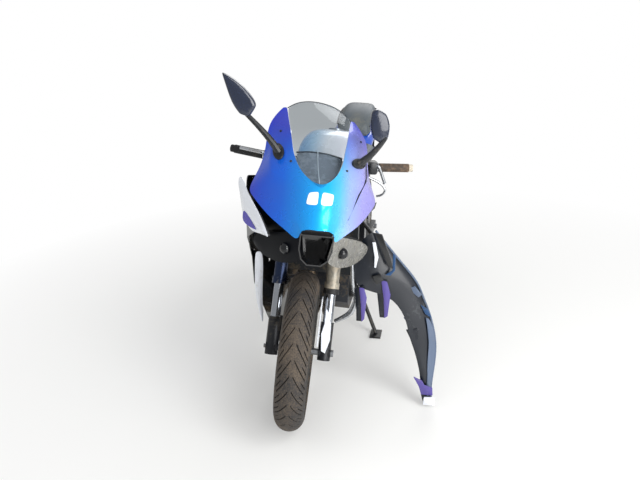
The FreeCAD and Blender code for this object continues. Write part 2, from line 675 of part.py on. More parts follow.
def swingarm():
    """Two arms that splay round the tyre, a bridge ahead of the tyre and the pivot tube."""
    outline = [(134, 332), (140, 374), (200, 378), (560, 352), (726, 338), (740, 314), (726, 290), (560, 300),
               (210, 320), (150, 322)]
    inner = PLATE_X - ARM_THICK
    plan = [(inner, 128), (PLATE_X - 2, 128), (PLATE_X - 2, 240), (ARM_OUT_X, 330), (ARM_OUT_X, 745),
            (ARM_OUT_X - ARM_THICK, 745), (ARM_OUT_X - ARM_THICK, 345), (inner, 255)]
    arm = side_profile(outline, 0, 200).common(top_profile(plan, 200, 500))
    bridge = box(-inner - 2, inner + 2, 230, 318, 326, 370)
    tube = cylinder_x(-PLATE_X + FACE_GAP, PLATE_X - FACE_GAP, SWING_PIVOT.y, SWING_PIVOT.z, 22)
    shock_lug = box(-22, 22, 244, 280, 366, 378)
    body = fuse([arm, mirror_x(arm), bridge, tube, shock_lug])
    body = body.cut(cylinder_x(-200, 200, REAR_AXLE.y, REAR_AXLE.z, AXLE_R + FIT))
    body = body.cut(cylinder_x(-200, 200, SPOOL_AT[0], SPOOL_AT[1], SPOOL_BORE_R))
    return body.cut(cylinder_x(-200, 200, SWING_PIVOT.y, SWING_PIVOT.z, 9 + FIT))


def rear_axle():
    reach = ARM_OUT_X
    pin = cylinder_x(-reach - 8, reach + 8, REAR_AXLE.y, REAR_AXLE.z, AXLE_R)
    head = cylinder_x(reach, reach + 10, REAR_AXLE.y, REAR_AXLE.z, 14)
    nut = cylinder_x(-reach - 10, -reach, REAR_AXLE.y, REAR_AXLE.z, 14)
    spacer_left = cylinder_x(SPROCKET_X + SPROCKET_THICK + FACE_GAP, reach - ARM_THICK, REAR_AXLE.y, REAR_AXLE.z, 13)
    spacer_right = cylinder_x(-reach + ARM_THICK, DISC_REAR_X - FACE_GAP, REAR_AXLE.y, REAR_AXLE.z, 13)
    return fuse([pin, head, nut, spacer_left, spacer_right])


def rear_shock():
    low = V(0, 262, 378)
    high = V(0, 76, 636)
    run = high - low
    body = [rod(tuple(low), tuple(high), 12), rod(tuple(low + run * 0.18), tuple(low + run * 0.8), 27)]
    return fuse(body).cut([main_frame(), swingarm()])


def fuel_tank():
    """Humped tank, narrow at the knees."""
    table = [
        # y, half width at base, half width at shoulder, base z, shoulder z, top half width, top z
        (-300, 60, 88, 850, 872, 50, 890),
        (-230, 112, 132, 800, 900, 84, 948),
        (-110, 120, 140, 770, 920, 80, 980),
        (20, 104, 112, 740, 880, 60, 936),
        (120, 84, 84, 720, 828, 46, 846),
    ]
    sections = []
    for y, base, shoulder, z0, z1, top, z2 in table:
        outline = [(-base, z0), (base, z0), (shoulder, z0 + 0.55 * (z1 - z0)), (shoulder * 0.95, z1), (top, z2),
                   (-top, z2), (-shoulder * 0.95, z1), (-shoulder, z0 + 0.55 * (z1 - z0))]
        sections.append([V(x, y, z) for x, z in outline])
    whole = ruled_loft(sections).cut(main_frame())
    return biggest(whole)


def seat_pad(table):
    sections = []
    for y, half, z0, z1 in table:
        outline = [(-half, z0), (half, z0), (half, z0 + 0.6 * (z1 - z0)), (half * 0.8, z1), (-half * 0.8, z1),
                   (-half, z0 + 0.6 * (z1 - z0))]
        sections.append([V(x, y, z) for x, z in outline])
    return ruled_loft(sections)


@lru_cache
def rider_seat():
    front = seat_pad([(120.3, 70, 770, 826), (220, 112, 762, 806), (330, 132, 780, 820), (424, 126, 800, 850)])
    pillion = seat_pad([(440, 88, 884, 946), (520, 108, 900, 992), (620, 106, 926, 1022), (720, 84, 950, 1018)])
    return [biggest(front.cut(main_frame())), pillion]


@lru_cache
def tail_cowl():
    """Tail unit under both seats, tapering to the lamp."""
    table = [
        # y, half width, lower z, upper z
        (330, 128, 740, 778), (428, 120, 800, 884), (560, 114, 836, 908), (720, 98, 880, 956), (900, 62, 922, 990),
        (1000, 36, 952, 1000),
    ]
    sections = []
    for y, half, z0, z1 in table:
        outline = [(-half * 0.7, z0), (half * 0.7, z0), (half, z0 + 0.4 * (z1 - z0)), (half * 0.86, z1),
                   (-half * 0.86, z1), (-half, z0 + 0.4 * (z1 - z0))]
        sections.append([V(x, y, z) for x, z in outline])
    return biggest(ruled_loft(sections).cut([main_frame()] + rider_seat()))


def tail_light():
    return box(-34, 34, 1000, 1014, 944, 972)


def rear_mudguard():
    """Plate holder and mudguard hung under the tail."""
    arm = side_profile([(850, 930), (920, 930), (1080, 770), (1090, 640), (1082, 640), (1066, 764), (880, 880)], -50, 50)
    return biggest(arm.cut([tail_cowl(), main_frame()]))


# Nose group, drawn straight and then turned as one

NOSE_TABLE = [
    # y, then (x, z) of the brow edge, lower crease, shoulder and screen edge
    (-832, ((56, 800), (46, 803), (24, 806), (0, 807))),
    (-826, ((58, 804), (46, 822), (24, 834), (0, 840))),
    (-796, ((80, 808), (70, 842), (42, 872), (0, 890))),
    (-761, ((112, 812), (100, 858), (62, 905), (0, 941))),
    (-700, ((163, 822), (150, 880), (112, 925), (50, 964))),
    (-620, ((206, 845), (196, 905), (162, 955), (86, 1005))),
    (-573, ((227, 861), (216, 915), (184, 970), (98, 1035))),
    (-556, ((222, 972), (212, 984), (188, 1006), (103, 1044))),
    (-500, ((206, 1014), (200, 1020), (184, 1034), (116, 1076))),
    (-440, ((180, 1060), (176, 1068), (164, 1080), (126, 1098))),
    (-400, ((156, 1088), (152, 1092), (146, 1100), (128, 1110))),
]


@lru_cache
def nose_cowl():
    """Upper cowl: one strip each side from the nose's middle line round to the arm beside the screen."""
    stations = [(y, list(points)) for y, points in NOSE_TABLE]
    half = panel([(y, points[::-1]) for y, points in stations], PANEL_WALL)
    return fuse([half, mirror_x(half)])


def windscreen():
    """Smoked bubble between the cowl's screen edges."""
    rise = {-761: 3, -700: 26, -620: 44, -573: 50, -556: 50, -500: 50, -440: 44, -400: 40}
    sections = []
    for y, points in NOSE_TABLE:
        if y not in rise:
            continue
        half, edge = max(points[3][0], 4), points[3][1]
        crown = edge + rise[y]
        outline = [(half, edge), (half * 0.8, edge + 0.55 * (crown - edge)), (half * 0.4, edge + 0.92 * (crown - edge)),
                   (-half * 0.4, edge + 0.92 * (crown - edge)), (-half * 0.8, edge + 0.55 * (crown - edge)),
                   (-half, edge)]
        loop = outline + [(x * (1 - SCREEN_WALL / max(half, 8)), z - SCREEN_WALL) for x, z in outline[::-1]]
        sections.append([V(x, y, z) for x, z in loop])
    return biggest(ruled_loft(sections).cut(nose_cowl()))


def headlight(side):
    """Lamp under the brow: drawn in the front view and raked back in the top view."""
    front_view = [(60, 792), (100, 774), (140, 752), (202, 702), (200, 665), (172, 648), (145, 640), (100, 658),
                  (60, 684)]
    top_view = [(60, -806), (84, -786), (206, -616), (206, -600), (150, -600), (60, -680)]
    corners = [V(side * x, -850, z) for x, z in front_view]
    slab = Part.Face(Part.makePolygon(corners + corners[:1])).extrude(V(0, 300, 0))
    return slab.common(top_profile([(side * x, y) for x, y in top_view], 600, 850))


def intake_duct():
    """Open duct under the nose, closed at its back."""
    outline = [(-56, 798), (56, 798), (56, 745), (46, 710), (24, 690), (-24, 690), (-46, 710), (-56, 745)]
    corners = [V(x, -820, z) for x, z in outline]
    outer = Part.Face(Part.makePolygon(corners + corners[:1])).extrude(V(0, 120, 0))
    hole = [V(x * 0.92, -822, 746 + (z - 746) * 0.92) for x, z in outline]
    inner = Part.Face(Part.makePolygon(hole + hole[:1])).extrude(V(0, 116, 0))
    return outer.cut(inner)


def fairing_stay():
    """Beam ahead of the head tube with arms out and up to the mirror bases."""
    beam = box(-10, 10, -716, STAY_FRONT_Y + 20, 832, 862)
    cross = cylinder_x(-110, 110, -640, 847, 8)
    parts = [beam, cross, box(-10, 10, -560, -540, 850, 930)]
    for side in (LEFT, RIGHT):
        parts.append(bent_tube([(side * 104, -640, 847), (side * 140, -628, 880), (side * 138, -612, 972)], 8))
    for side in (LEFT, RIGHT):
        parts.append(rod((side * 100, -650, 720), (side * 100, -650, 847), 6).cut(headlight(side)))
    parts.append(box(-12, 12, -716, -700, 780, 850).cut(intake_duct()))
    return biggest(fuse(parts).cut(nose_cowl()))


def instrument_panel():
    """Meter case on the stay, its face turned to the rider."""
    return side_profile([(-566, 930), (-516, 930), (-500, 978), (-552, 996)], -78, 78)


MIRROR_BACK_Y = -588.0
MIRROR_DEPTH = 34.0
MIRRORS = {
    # side: the stalk's bends and the head's outline as (x, z), both for the rider's side they stand on
    RIGHT: (((-146, -604, 990), (-180, -590, 1044), (-276, -567, 1122)),
            ((-239, 1151), (-258, 1112), (-290, 1118), (-318, 1150), (-337, 1196), (-356, 1241), (-318, 1226),
             (-280, 1202), (-252, 1173))),
    LEFT: (((146, -604, 990), (192, -592, 1036), (214, -580, 1092)),
           ((154, 1128), (154, 1172), (173, 1181), (203, 1168), (221, 1136), (221, 1094), (201, 1071), (170, 1085))),
}


def mirror(side):
    """Mirror: oval foot on the cowl, stalk and leaf-shaped head; the left one is folded in."""
    bends, outline = MIRRORS[side]
    foot = vec(bends[0])
    stalk = bent_tube(bends, 8)
    pad = Part.makeCylinder(20, 30, foot + V(-side * 10, 6, -18), V(side * 0.62, -0.32, 0.72))
    corners = [V(x, MIRROR_BACK_Y, z) for x, z in outline]
    head = Part.Face(Part.makePolygon(corners + corners[:1])).extrude(V(0, MIRROR_DEPTH, 0))
    return biggest(fuse([stalk, pad, head]).cut(nose_cowl()))


SIDE_LEVELS = (940, 800, 650, 450, 170)


@lru_cache
def side_fairing_right():
    """Right side panel: cheek beside the lamp, gill behind the front wheel and belly under the engine."""
    table = [
        # y, then x at each of the side levels
        (-790, (-64, -66, -68, -70, -72)),
        (-700, (-136, -138, -140, -142, -144)),
        (-610, (-212, -214, -210, -206, -200)),
        (-550, (-226, -232, -222, -208, -190)),
        (-440, (-206, -230, -226, -206, -178)),
        (-300, (-178, -216, -226, -206, -160)),
        (-120, (-166, -196, -214, -206, -168)),
        (120, (-160, -176, -190, -192, -172)),
    ]
    outline = [(-775, 768), (-707, 817), (-666, 838), (-611, 869), (-585, 900), (-540, 902), (-420, 872), (-300, 815),
               (-100, 756), (-50, 690), (-20, 560), (70, 420), (110, 300), (95, 235), (-60, 185), (-330, 185),
               (-402, 232), (-429, 282), (-533, 471), (-533, 577), (-560, 640), (-617, 694), (-666, 733), (-742, 752)]
    gill = [(-350, 640), (-180, 606), (-214, 500), (-330, 470)]
    skin = panel([(y, list(zip(xs, SIDE_LEVELS))) for y, xs in table], PANEL_WALL)
    return biggest(skin.common(side_profile(outline, -400, 0)).cut(side_profile(gill, -400, 0)))


@lru_cache
def side_fairing_left():
    """Left side panel, torn off its lower mounts: it hangs from the frame's bracket, seen from inside."""
    strips = [
        # from the inner edge to the outer edge, and down the panel from the bracket to the ground
        ((178, -540, 662), (205, -540, 700), (228, -534, 722), (248, -528, 733)),
        ((180, -560, 600), (235, -552, 640), (290, -535, 655), (322, -508, 640)),
        ((187, -590, 515), (265, -572, 560), (345, -535, 575), (411, -493, 540)),
        ((318, -548, 498), (365, -535, 500), (415, -512, 495), (440, -492, 478)),
        ((386, -540, 407), (415, -535, 405), (450, -515, 400), (478, -492, 395)),
        ((405, -547, 320), (435, -540, 318), (475, -520, 312), (505, -499, 306)),
        ((428, -542, 275), (455, -540, 262), (485, -525, 246), (511, -508, 232)),
        ((465, -554, 163), (478, -558, 158), (495, -556, 150), (506, -540, 140)),
        ((466, -560, 100), (480, -564, 96), (496, -564, 90), (508, -552, 86)),
        ((484, -572, 56), (492, -576, 56), (506, -580, 57), (518, -576, 58)),
    ]
    parts = []
    for upper, lower in zip(strips, strips[1:]):
        for i in range(len(upper) - 1):
            for corners in ((upper[i], upper[i + 1], lower[i]), (upper[i + 1], lower[i + 1], lower[i])):
                ring = [vec(p) for p in corners]
                parts.append(Part.Face(Part.makePolygon(ring + ring[:1])).extrude(V(0, PANEL_WALL, 0)))
    legs = (
        # front face y, then the (x, z) outline of a torn leg
        (-588, ((200, 524), (226, 534), (232, 470), (228, 388), (212, 388), (210, 450))),
        (-560, ((278, 560), (312, 556), (318, 470), (312, 400), (298, 400), (290, 450))),
    )
    for y, outline in legs:
        corners = [V(x, y, z) for x, z in outline]
        parts.append(Part.Face(Part.makePolygon(corners + corners[:1])).extrude(V(0, 3 * PANEL_WALL, 0)))
    return biggest(fuse(parts))


def mudguard_remnant():
    """What the crash left of the front mudguard on the left leg: a guard on its front and a stay leaf inside."""
    foot = on_fork(0, LEFT)
    lean = tan(radians(RAKE_DEG))

    def ahead_of_leg(z, ahead):
        return foot.y + (z - foot.z) * lean - ahead

    outline = [(88, 452), (98, 440), (112, 402), (114, 350), (101, 306), (86, 312), (80, 369), (88, 403)]
    corners = [V(x, foot.y - 150, z) for x, z in outline]
    front = FORK_FOOT_R / cos(radians(RAKE_DEG)) + FACE_GAP
    slab = [(ahead_of_leg(z, front + more), z) for z, more in ((290, 5), (470, 5), (470, 0), (290, 0))]
    guard = Part.Face(Part.makePolygon(corners + corners[:1])).extrude(V(0, 250, 0)).common(side_profile(slab, 0, 200))
    pin_at = on_fork(80, LEFT)
    pin = Part.makeCylinder(5, front + 2, pin_at, V(0, -1, 0)).cut(fork_lower(LEFT))
    leaf_x = foot.x - FORK_FOOT_R
    leaf = side_profile([(-715, 330), (-640, 486), (-618, 486), (-668, 330)], leaf_x - 6, leaf_x - 2)
    peg = cylinder_x(leaf_x - 4, leaf_x + 6, -668, 350, 6).cut(fork_lower(LEFT))
    return [biggest(guard.fuse(pin)), biggest(leaf.fuse(peg))]


def rear_caliper():
    disc_mid = DISC_REAR_X + DISC_THICK / 2
    body_points = [(-90, 86), (-98, 126), (-40, 138), (-22, 96), (-50, 74)]
    bracket_points = [(-80, 78), (-18, 106), (14, 16), (-26, 22)]
    around_axle = [[(REAR_AXLE.y + y, REAR_AXLE.z + z) for y, z in points] for points in (body_points, bracket_points)]
    body = side_profile(around_axle[0], disc_mid - 28, disc_mid + 20)
    body = body.fuse(side_profile(around_axle[1], ARM_THICK - ARM_OUT_X + FACE_GAP, disc_mid - 24))
    slot_half = DISC_THICK / 2 + PAD_GAP
    return body.cut(cylinder_x(disc_mid - slot_half, disc_mid + slot_half, REAR_AXLE.y, REAR_AXLE.z, REAR_DISC_R + 4))


def footrests():
    pegs = []
    for side in (LEFT, RIGHT):
        pegs.append(biggest(rod((side * 126, 196, 360), (side * 235, 201, 372), 11).cut(main_frame())))
    return pegs


def side_stand():
    """Leg with a flat foot; drawn to the point where the foot lies on the ground as the bike stands."""
    leg = rod(tuple(STAND_PIVOT), tuple(to_upright((STAND_FOOT.x, STAND_FOOT.y, 8))), 9)
    under = Part.makeBox(400, 400, 200, V(STAND_FOOT.x - 200, STAND_FOOT.y - 200, -200))
    pad = Part.makeBox(52, 74, 8, V(STAND_FOOT.x - 26, STAND_FOOT.y - 37, 0))
    for shape in (under, pad):
        shape.Placement = STAND_PLACE.inverse().multiply(shape.Placement)
    boss_from = STAND_PIVOT - STAND_AXIS * STAND_BOSS_HALF
    boss = Part.makeCylinder(STAND_BOSS_R, 2 * STAND_BOSS_HALF, boss_from, STAND_AXIS)
    bore = Part.makeCylinder(STAND_BOLT_R + FIT, 60, boss_from - STAND_AXIS * 20, STAND_AXIS)
    return fuse([leg, pad, boss]).cut([under, bore])


def bent_stay():
    """The stay as the crash left it, bent where it bolts to the frame's boss."""
    stay = fairing_stay()
    stay.Placement = NOSE_TURN.multiply(stay.Placement)
    return biggest(stay.cut(main_frame()))


# Bodies and their nodes

FRAME_NODES = {
    "main_frame": [main_frame()],
    "engine": [engine()],
    "engine_covers": engine_covers(),
    "radiator": [radiator()],
    "exhaust_headers": [exhaust_headers()],
    "muffler": [muffler()],
    "swingarm": [swingarm()],
    "rear_axle": [rear_axle()],
    "rear_shock": [rear_shock()],
    "fuel_tank": [fuel_tank()],
    "rider_seat": rider_seat(),
    "tail_cowl": [tail_cowl()],
    "tail_light": [tail_light()],
    "rear_mudguard": [rear_mudguard()],
    "side_fairing_right": [side_fairing_right()],
    "side_fairing_left": [side_fairing_left()],
    "rear_caliper": [rear_caliper()],
    "footrests": footrests(),
    "chain": [chain()],
    "fairing_stay": [bent_stay()],
}
NOSE_NODES = {
    "nose_cowl": [nose_cowl()],
    "windscreen": [windscreen()],
    "headlight_left": [headlight(LEFT)],
    "headlight_right": [headlight(RIGHT)],
    "intake_duct": [intake_duct()],
    "instrument_panel": [instrument_panel()],
    "mirror_left": [mirror(LEFT)],
    "mirror_right": [mirror(RIGHT)],
}
STEERED_NODES = {
    "steering_stem": [steering_stem()],
    "fork_outer_tubes": [fork_outer(LEFT), fork_outer(RIGHT)],
    "fork_lowers": [fork_lower(LEFT), fork_lower(RIGHT)],
    "front_axle": [front_axle()],
    "front_caliper": [front_caliper()],
    "handlebars": [handlebar(LEFT), handlebar(RIGHT)],
    "grips": [grip(LEFT), grip(RIGHT)],
    "control_levers": [control_lever(LEFT), control_lever(RIGHT)],
    "mudguard_remnant": mudguard_remnant(),
    "front_tyre": [set_on(tyre(FRONT_TYRE_R, FRONT_TYRE_WIDTH, FRONT_CROWN_R, FRONT_RIM_WIDTH), FRONT_AXLE)],
    "front_rim": [set_on(rim(FRONT_RIM_WIDTH, FRONT_HUB_WIDTH, 26.0), FRONT_AXLE)],
    "front_disc": [set_on(disc(FRONT_DISC_R, 112.0, DISC_FRONT_X), FRONT_AXLE)],
}
REAR_NODES = {
    "rear_tyre": [set_on(tyre(REAR_TYRE_R, REAR_TYRE_WIDTH, REAR_CROWN_R, REAR_RIM_WIDTH), REAR_AXLE)],
    "rear_rim": [set_on(rim(REAR_RIM_WIDTH, REAR_HUB_WIDTH, 30.0), REAR_AXLE)],
    "rear_disc": [set_on(disc(REAR_DISC_R, 82.0, DISC_REAR_X), REAR_AXLE)],
    "rear_sprocket": [set_on(rear_sprocket(), REAR_AXLE)],
    "side_stand": [side_stand()],
}

placed = {}
for nodes, turn in ((FRAME_NODES, NO_TURN), (NOSE_NODES, NOSE_TURN), (STEERED_NODES, STEER_TURN), (REAR_NODES, NO_TURN)):
    for name, solids in nodes.items():
        shape = solids[0].copy() if len(solids) == 1 else Part.makeCompound(solids)
        shape.Placement = STAND_PLACE.multiply(turn).multiply(shape.Placement)
        placed[name] = shape

extent = FreeCAD.BoundBox()
for shape in placed.values():
    extent.add(shape.optimalBoundingBox())
ORIGIN = V((extent.XMin + extent.XMax) / 2, (extent.YMin + extent.YMax) / 2, extent.ZMin)
print("extent", [round(v, 1) for v in (extent.XMin, extent.XMax, extent.YMin, extent.YMax, extent.ZMin, extent.ZMax)])

os.makedirs("parts", exist_ok=True)
for name, shape in placed.items():
    shape.translate(ORIGIN * -1)
    shape.exportStep("parts/" + name + ".step")
    print(name, len(shape.Solids), round(shape.Volume / 1000, 1), shape.isValid())
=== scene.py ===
"""The sport bike: a small faired twin that has been in a crash, standing on its side stand."""
from math import cos, pi, radians, sin

import bpy
from mathutils import Matrix, Vector


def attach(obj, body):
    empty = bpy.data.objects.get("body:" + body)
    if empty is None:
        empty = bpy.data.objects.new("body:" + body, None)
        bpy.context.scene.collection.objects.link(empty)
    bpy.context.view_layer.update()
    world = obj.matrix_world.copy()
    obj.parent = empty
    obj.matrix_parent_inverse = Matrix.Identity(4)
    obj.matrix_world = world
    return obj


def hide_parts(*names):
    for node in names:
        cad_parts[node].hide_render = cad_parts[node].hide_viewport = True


bpy.ops.wm.read_factory_settings(use_empty=True)
scene = bpy.context.scene
scene.view_settings.view_transform = "Standard"
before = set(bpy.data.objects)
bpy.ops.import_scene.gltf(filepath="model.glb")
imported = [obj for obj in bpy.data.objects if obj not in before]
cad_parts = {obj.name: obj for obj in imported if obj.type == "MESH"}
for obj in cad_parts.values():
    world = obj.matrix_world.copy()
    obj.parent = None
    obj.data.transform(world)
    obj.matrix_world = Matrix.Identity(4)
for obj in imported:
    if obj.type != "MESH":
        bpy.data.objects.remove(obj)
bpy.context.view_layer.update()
bpy.ops.object.select_all(action="DESELECT")


# Nose cowl
# One injection-moulded ABS shell, painted outside and left as moulded inside. The crash has twisted it to
# the left on its bent stay, together with the screen, lamps and mirrors that it carries.
# All of these are drawn in mm on the straight bike, and TWISTED sets them on the bike as it stands.

TWISTED = Matrix(((0.9532, -0.2494, 0.1709, -0.31088), (0.2496, 0.9681, 0.0210, -0.08767),
                  (-0.1707, 0.0226, 0.9851, 0.01883), (0, 0, 0, 1)))
LIP, ARM_FEET = -832, -600  # y in mm of the cowl's foremost lip and of the feet of its arms
WELD = 0.0002  # metres within which two vertices become one
CORNER = 35  # degrees between two faces from which their edge is a corner
FIRST, SECOND, MIXED = 6, 7, 2  # the colour inputs and the colour output of a Mix node


def linear(code):
    """An sRGB hex colour as the linear one that nodes take."""
    out = []
    for i in (0, 2, 4):
        c = int(code[i:i + 2], 16) / 255
        out.append(c / 12.92 if c <= 0.04045 else ((c + 0.055) / 1.055) ** 2.4)
    return (*out, 1.0)


def add(owner, kind, sockets=(), stops=(), **settings):
    """Adds a shader node: sockets pairs an input with a value or an output, stops fills a colour ramp."""
    tree = owner.node_tree
    made = tree.nodes.new("ShaderNode" + kind)
    for name, value in settings.items():
        setattr(made, name, value)
    for socket, value in sockets:
        if isinstance(value, bpy.types.NodeSocket):
            tree.links.new(value, made.inputs[socket])
        else:
            made.inputs[socket].default_value = value
    for i, (place, code) in enumerate(stops):
        stop = made.color_ramp.elements[i] if i < 2 else made.color_ramp.elements.new(place)
        stop.position = place
        stop.color = linear(code)
    return made


def start_material(name, **shader):
    """A material with its shader's own values set; underscores in the names stand for spaces."""
    material = bpy.data.materials.new(name)
    material.use_nodes = True
    surface = material.node_tree.nodes["Principled BSDF"]
    for socket, value in shader.items():
        surface.inputs[socket.replace("_", " ")].default_value = value
    return material, surface


def shift_paint(name, place, middle, across, arms, stops):
    """Colour-shift lacquer: a ramp of colours over the panel's width that goes over to violet up the arms.

    Mica under clear coat has some of a metal's shine below a sharp gloss. The flakes are drawn about 1 mm
    wide, coarser than real mica, so that they show, and a film of dust makes the gloss uneven.
    """
    material, surface = start_material(name, Metallic=0.35, Roughness=0.3, Coat_Weight=0.7,
                                       Coat_Roughness=0.05, Specular_IOR_Level=0.2)
    spot = add(material, "TexCoord").outputs["Object"]
    local = add(material, "Mapping", [("Vector", spot), ("Location", place @ Vector(middle)),
                                      ("Rotation", place.to_euler())], vector_type="TEXTURE")
    split = add(material, "SeparateXYZ", [("Vector", local.outputs[0])])
    share = add(material, "MapRange", [("Value", split.outputs["X"]), ("From Min", -across),
                                       ("From Max", across)])
    ramp = add(material, "ValToRGB", [("Fac", share.outputs[0])], stops)
    height = add(material, "MapRange", [("Value", split.outputs["Z"]), ("From Min", arms[0]),
                                        ("From Max", arms[1]), ("To Max", 0.85)])
    paint = add(material, "Mix", [("Factor", height.outputs[0]), (FIRST, ramp.outputs[0]),
                                  (SECOND, linear("2A2EBE"))], data_type="RGBA")
    flakes = add(material, "TexVoronoi", [("Vector", spot), ("Scale", 900.0)])
    sparkle = add(material, "Mix", [("Factor", 0.1), (FIRST, paint.outputs[MIXED]),
                                    (SECOND, flakes.outputs["Color"])], data_type="RGBA",
                  blend_type="SOFT_LIGHT")
    dust = add(material, "TexNoise", [("Vector", spot), ("Scale", 14.0), ("Detail", 8.0)])
    gloss = add(material, "MapRange", [("Value", dust.outputs["Fac"]), ("From Min", 0.35),
                                       ("From Max", 0.75), ("To Min", 0.22), ("To Max", 0.4)])
    tree = material.node_tree
    tree.links.new(sparkle.outputs[MIXED], surface.inputs["Base Color"])
    tree.links.new(gloss.outputs[0], surface.inputs["Roughness"])
    return material


def grimy(name, clean, dirt, share=0.45, grit=12.0, relief=0.4, rough=(0.3, 0.8), **shader):
    """A finish under road dust: share says how much of it the dust covers, rough how dull both are.

    The dust lies in patches about 100 mm wide, broken up by specks of grit mm that stand relief mm high.
    clean is a colour, or a function that draws one in the material's nodes.
    """
    material, surface = start_material(name, **shader)
    under = clean(material) if callable(clean) else linear(clean)
    place = add(material, "TexCoord").outputs["Object"]
    patches = add(material, "TexNoise", [("Vector", place), ("Scale", 9.0), ("Detail", 6.0)])
    specks = add(material, "TexNoise", [("Vector", place), ("Scale", 1000 / grit), ("Detail", 3.0)])
    both = add(material, "Math", [(0, patches.outputs["Fac"]), (1, specks.outputs["Fac"])],
               operation="ADD")
    dust = add(material, "MapRange", [("Value", both.outputs[0]), ("From Min", 1.25 - share * 0.6),
                                      ("From Max", 1.55 - share * 0.4)])
    mix = add(material, "Mix", [("Factor", dust.outputs[0]), (FIRST, under), (SECOND, linear(dirt))],
              data_type="RGBA")
    gloss = add(material, "MapRange", [("Value", dust.outputs[0]), ("To Min", rough[0]),
                                       ("To Max", rough[1])])
    bumps = add(material, "Bump", [("Height", specks.outputs["Fac"]), ("Distance", relief / 1000),
                                   ("Strength", 0.6)])
    tree = material.node_tree
    tree.links.new(mix.outputs[MIXED], surface.inputs["Base Color"])
    tree.links.new(gloss.outputs[0], surface.inputs["Roughness"])
    tree.links.new(bumps.outputs[0], surface.inputs["Normal"])
    return material


def begin(name, primitive, **size):
    """A new piece from one of Blender's mesh primitives, all else deselected."""
    bpy.ops.object.select_all(action="DESELECT")
    primitive(**size)
    piece = bpy.context.object
    piece.name = name
    return piece


def sculpt(name, rows, closed=False):
    """A grid whose points are set one by one, in mm; closed joins each row's last point to its first."""
    wide = len(rows[0]) - (0 if closed else 1)
    long = len(rows) - 1
    piece = begin(name, bpy.ops.mesh.primitive_grid_add, x_subdivisions=wide, y_subdivisions=long, size=1)
    for point in piece.data.vertices:
        column = round((point.co.x + 0.5) * wide)
        row = rows[round((point.co.y + 0.5) * long)]
        point.co = Vector(row[column % len(row)]) / 1000
    return piece


def shove(spot):
    """Where the crash has moved a point of the nose: its back 11 mm to the right, its left arm lower."""
    back = min(1, max(0, (spot.y - LIP) / 240))
    high = min(1, max(0, (spot.y - ARM_FEET) / 200))
    return Vector((spot.x - 11 * back, spot.y, spot.z - 0.1 * spot.x * high))


def modify(piece, kind, **settings):
    """Adds a modifier with its settings and applies it."""
    modifier = piece.modifiers.new(kind.lower(), kind)
    for name, value in settings.items():
        setattr(modifier, name, value)
    bpy.ops.object.modifier_apply(modifier=modifier.name)


def finish(piece, place, material, body="frame", mirrored=False, levels=0, wall=0, edge=0, angle=CORNER,
           shoved=False, lining=None, covers=()):
    """Closes seams, turns faces out, rounds by edge, thickens by wall, and sets the piece on the bike.

    edge and wall are in mm, lining is the material of a wall's inner side, and covers names the CAD parts
    that the piece stands for.
    """
    piece.data.materials.append(material)
    bpy.ops.object.select_all(action="DESELECT")
    piece.select_set(True)
    bpy.context.view_layer.objects.active = piece
    if mirrored:
        modify(piece, "MIRROR", merge_threshold=2 * WELD)
    bpy.ops.object.mode_set(mode="EDIT")
    bpy.ops.mesh.select_all(action="SELECT")
    bpy.ops.mesh.remove_doubles(threshold=WELD)
    bpy.ops.mesh.normals_make_consistent(inside=False)
    bpy.ops.mesh.select_all(action="DESELECT")
    bpy.ops.object.mode_set(mode="OBJECT")
    if edge:
        modify(piece, "BEVEL", width=edge / 1000, segments=2, limit_method="ANGLE",
               angle_limit=radians(CORNER))
    if levels:
        modify(piece, "SUBSURF", levels=levels, render_levels=levels)
    if lining:
        piece.data.materials.append(lining)
    if wall:
        modify(piece, "SOLIDIFY", thickness=wall / 1000, material_offset=1 if lining else 0)
    bpy.ops.object.shade_smooth_by_angle(angle=radians(angle))
    if shoved:
        for point in piece.data.vertices:
            point.co = shove(point.co * 1000) / 1000
    piece.data.transform(place)
    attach(piece, body)
    if covers:
        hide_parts(*covers)
    piece.select_set(False)
    return piece


# the lacquer shows cyan where the cowl faces forward, and blue and violet where it turns away; the pale
# blue just left of the middle is partly the lacquer's shift and partly a painted highlight
nose_paint = shift_paint("colour_shift_lacquer_and_highlight", TWISTED, (0, -0.70, 0.88), 0.24, (0.1, 0.2),
                         [(0.0, "2234C4"), (1.0, "9288D8"), (0.1, "064ED2"), (0.24, "0064DC"),
                          (0.38, "008CE4"), (0.47, "00A2EE"), (0.55, "00B4F4"), (0.63, "50BEF4"),
                          (0.71, "98B4F2"), (0.82, "A09EE4")])
# ABS as it left the mould: matt black, greyed by dust
bare_abs = grimy("bare_black_abs", "0E1014", "3E3C38", share=0.2, rough=(0.5, 0.8))

nose_rows = [
    # from the lip over the duct up to the arms' tips; each row from the middle or the screen's edge out
    [(0, -832, 818), (20, -830, 820), (38, -826, 818), (54, -816, 806), (60, -808, 766)],
    [(0, -818, 850), (26, -813, 847), (52, -801, 838), (68, -792, 824), (92, -776, 786)],
    [(0, -797, 897), (34, -790, 893), (62, -776, 882), (86, -760, 866), (146, -725, 806)],
    [(0, -761, 941), (40, -756, 934), (76, -738, 922), (108, -716, 900), (192, -655, 832)],
    [(52, -712, 961), (82, -704, 950), (106, -692, 936), (130, -672, 918), (216, -608, 848)],
    [(80, -650, 992), (106, -647, 978), (134, -650, 965), (160, -642, 943), (231, -573, 857)],
    [(90, -600, 1022), (112, -600, 1008), (137, -600, 993), (165, -598, 974), (192, -556, 934)],
    [(100, -545, 1062), (122, -546, 1044), (144, -540, 1028), (164, -530, 1012), (182, -522, 994)],
    [(108, -490, 1082), (128, -492, 1072), (148, -488, 1060), (166, -484, 1046), (183, -492, 1028)],
    [(114, -440, 1098), (130, -441, 1093), (146, -440, 1086), (162, -441, 1078), (175, -446, 1068)],
    [(119, -400, 1114), (124, -400, 1114), (129, -401, 1113), (133, -403, 1112), (137, -406, 1109)],
]
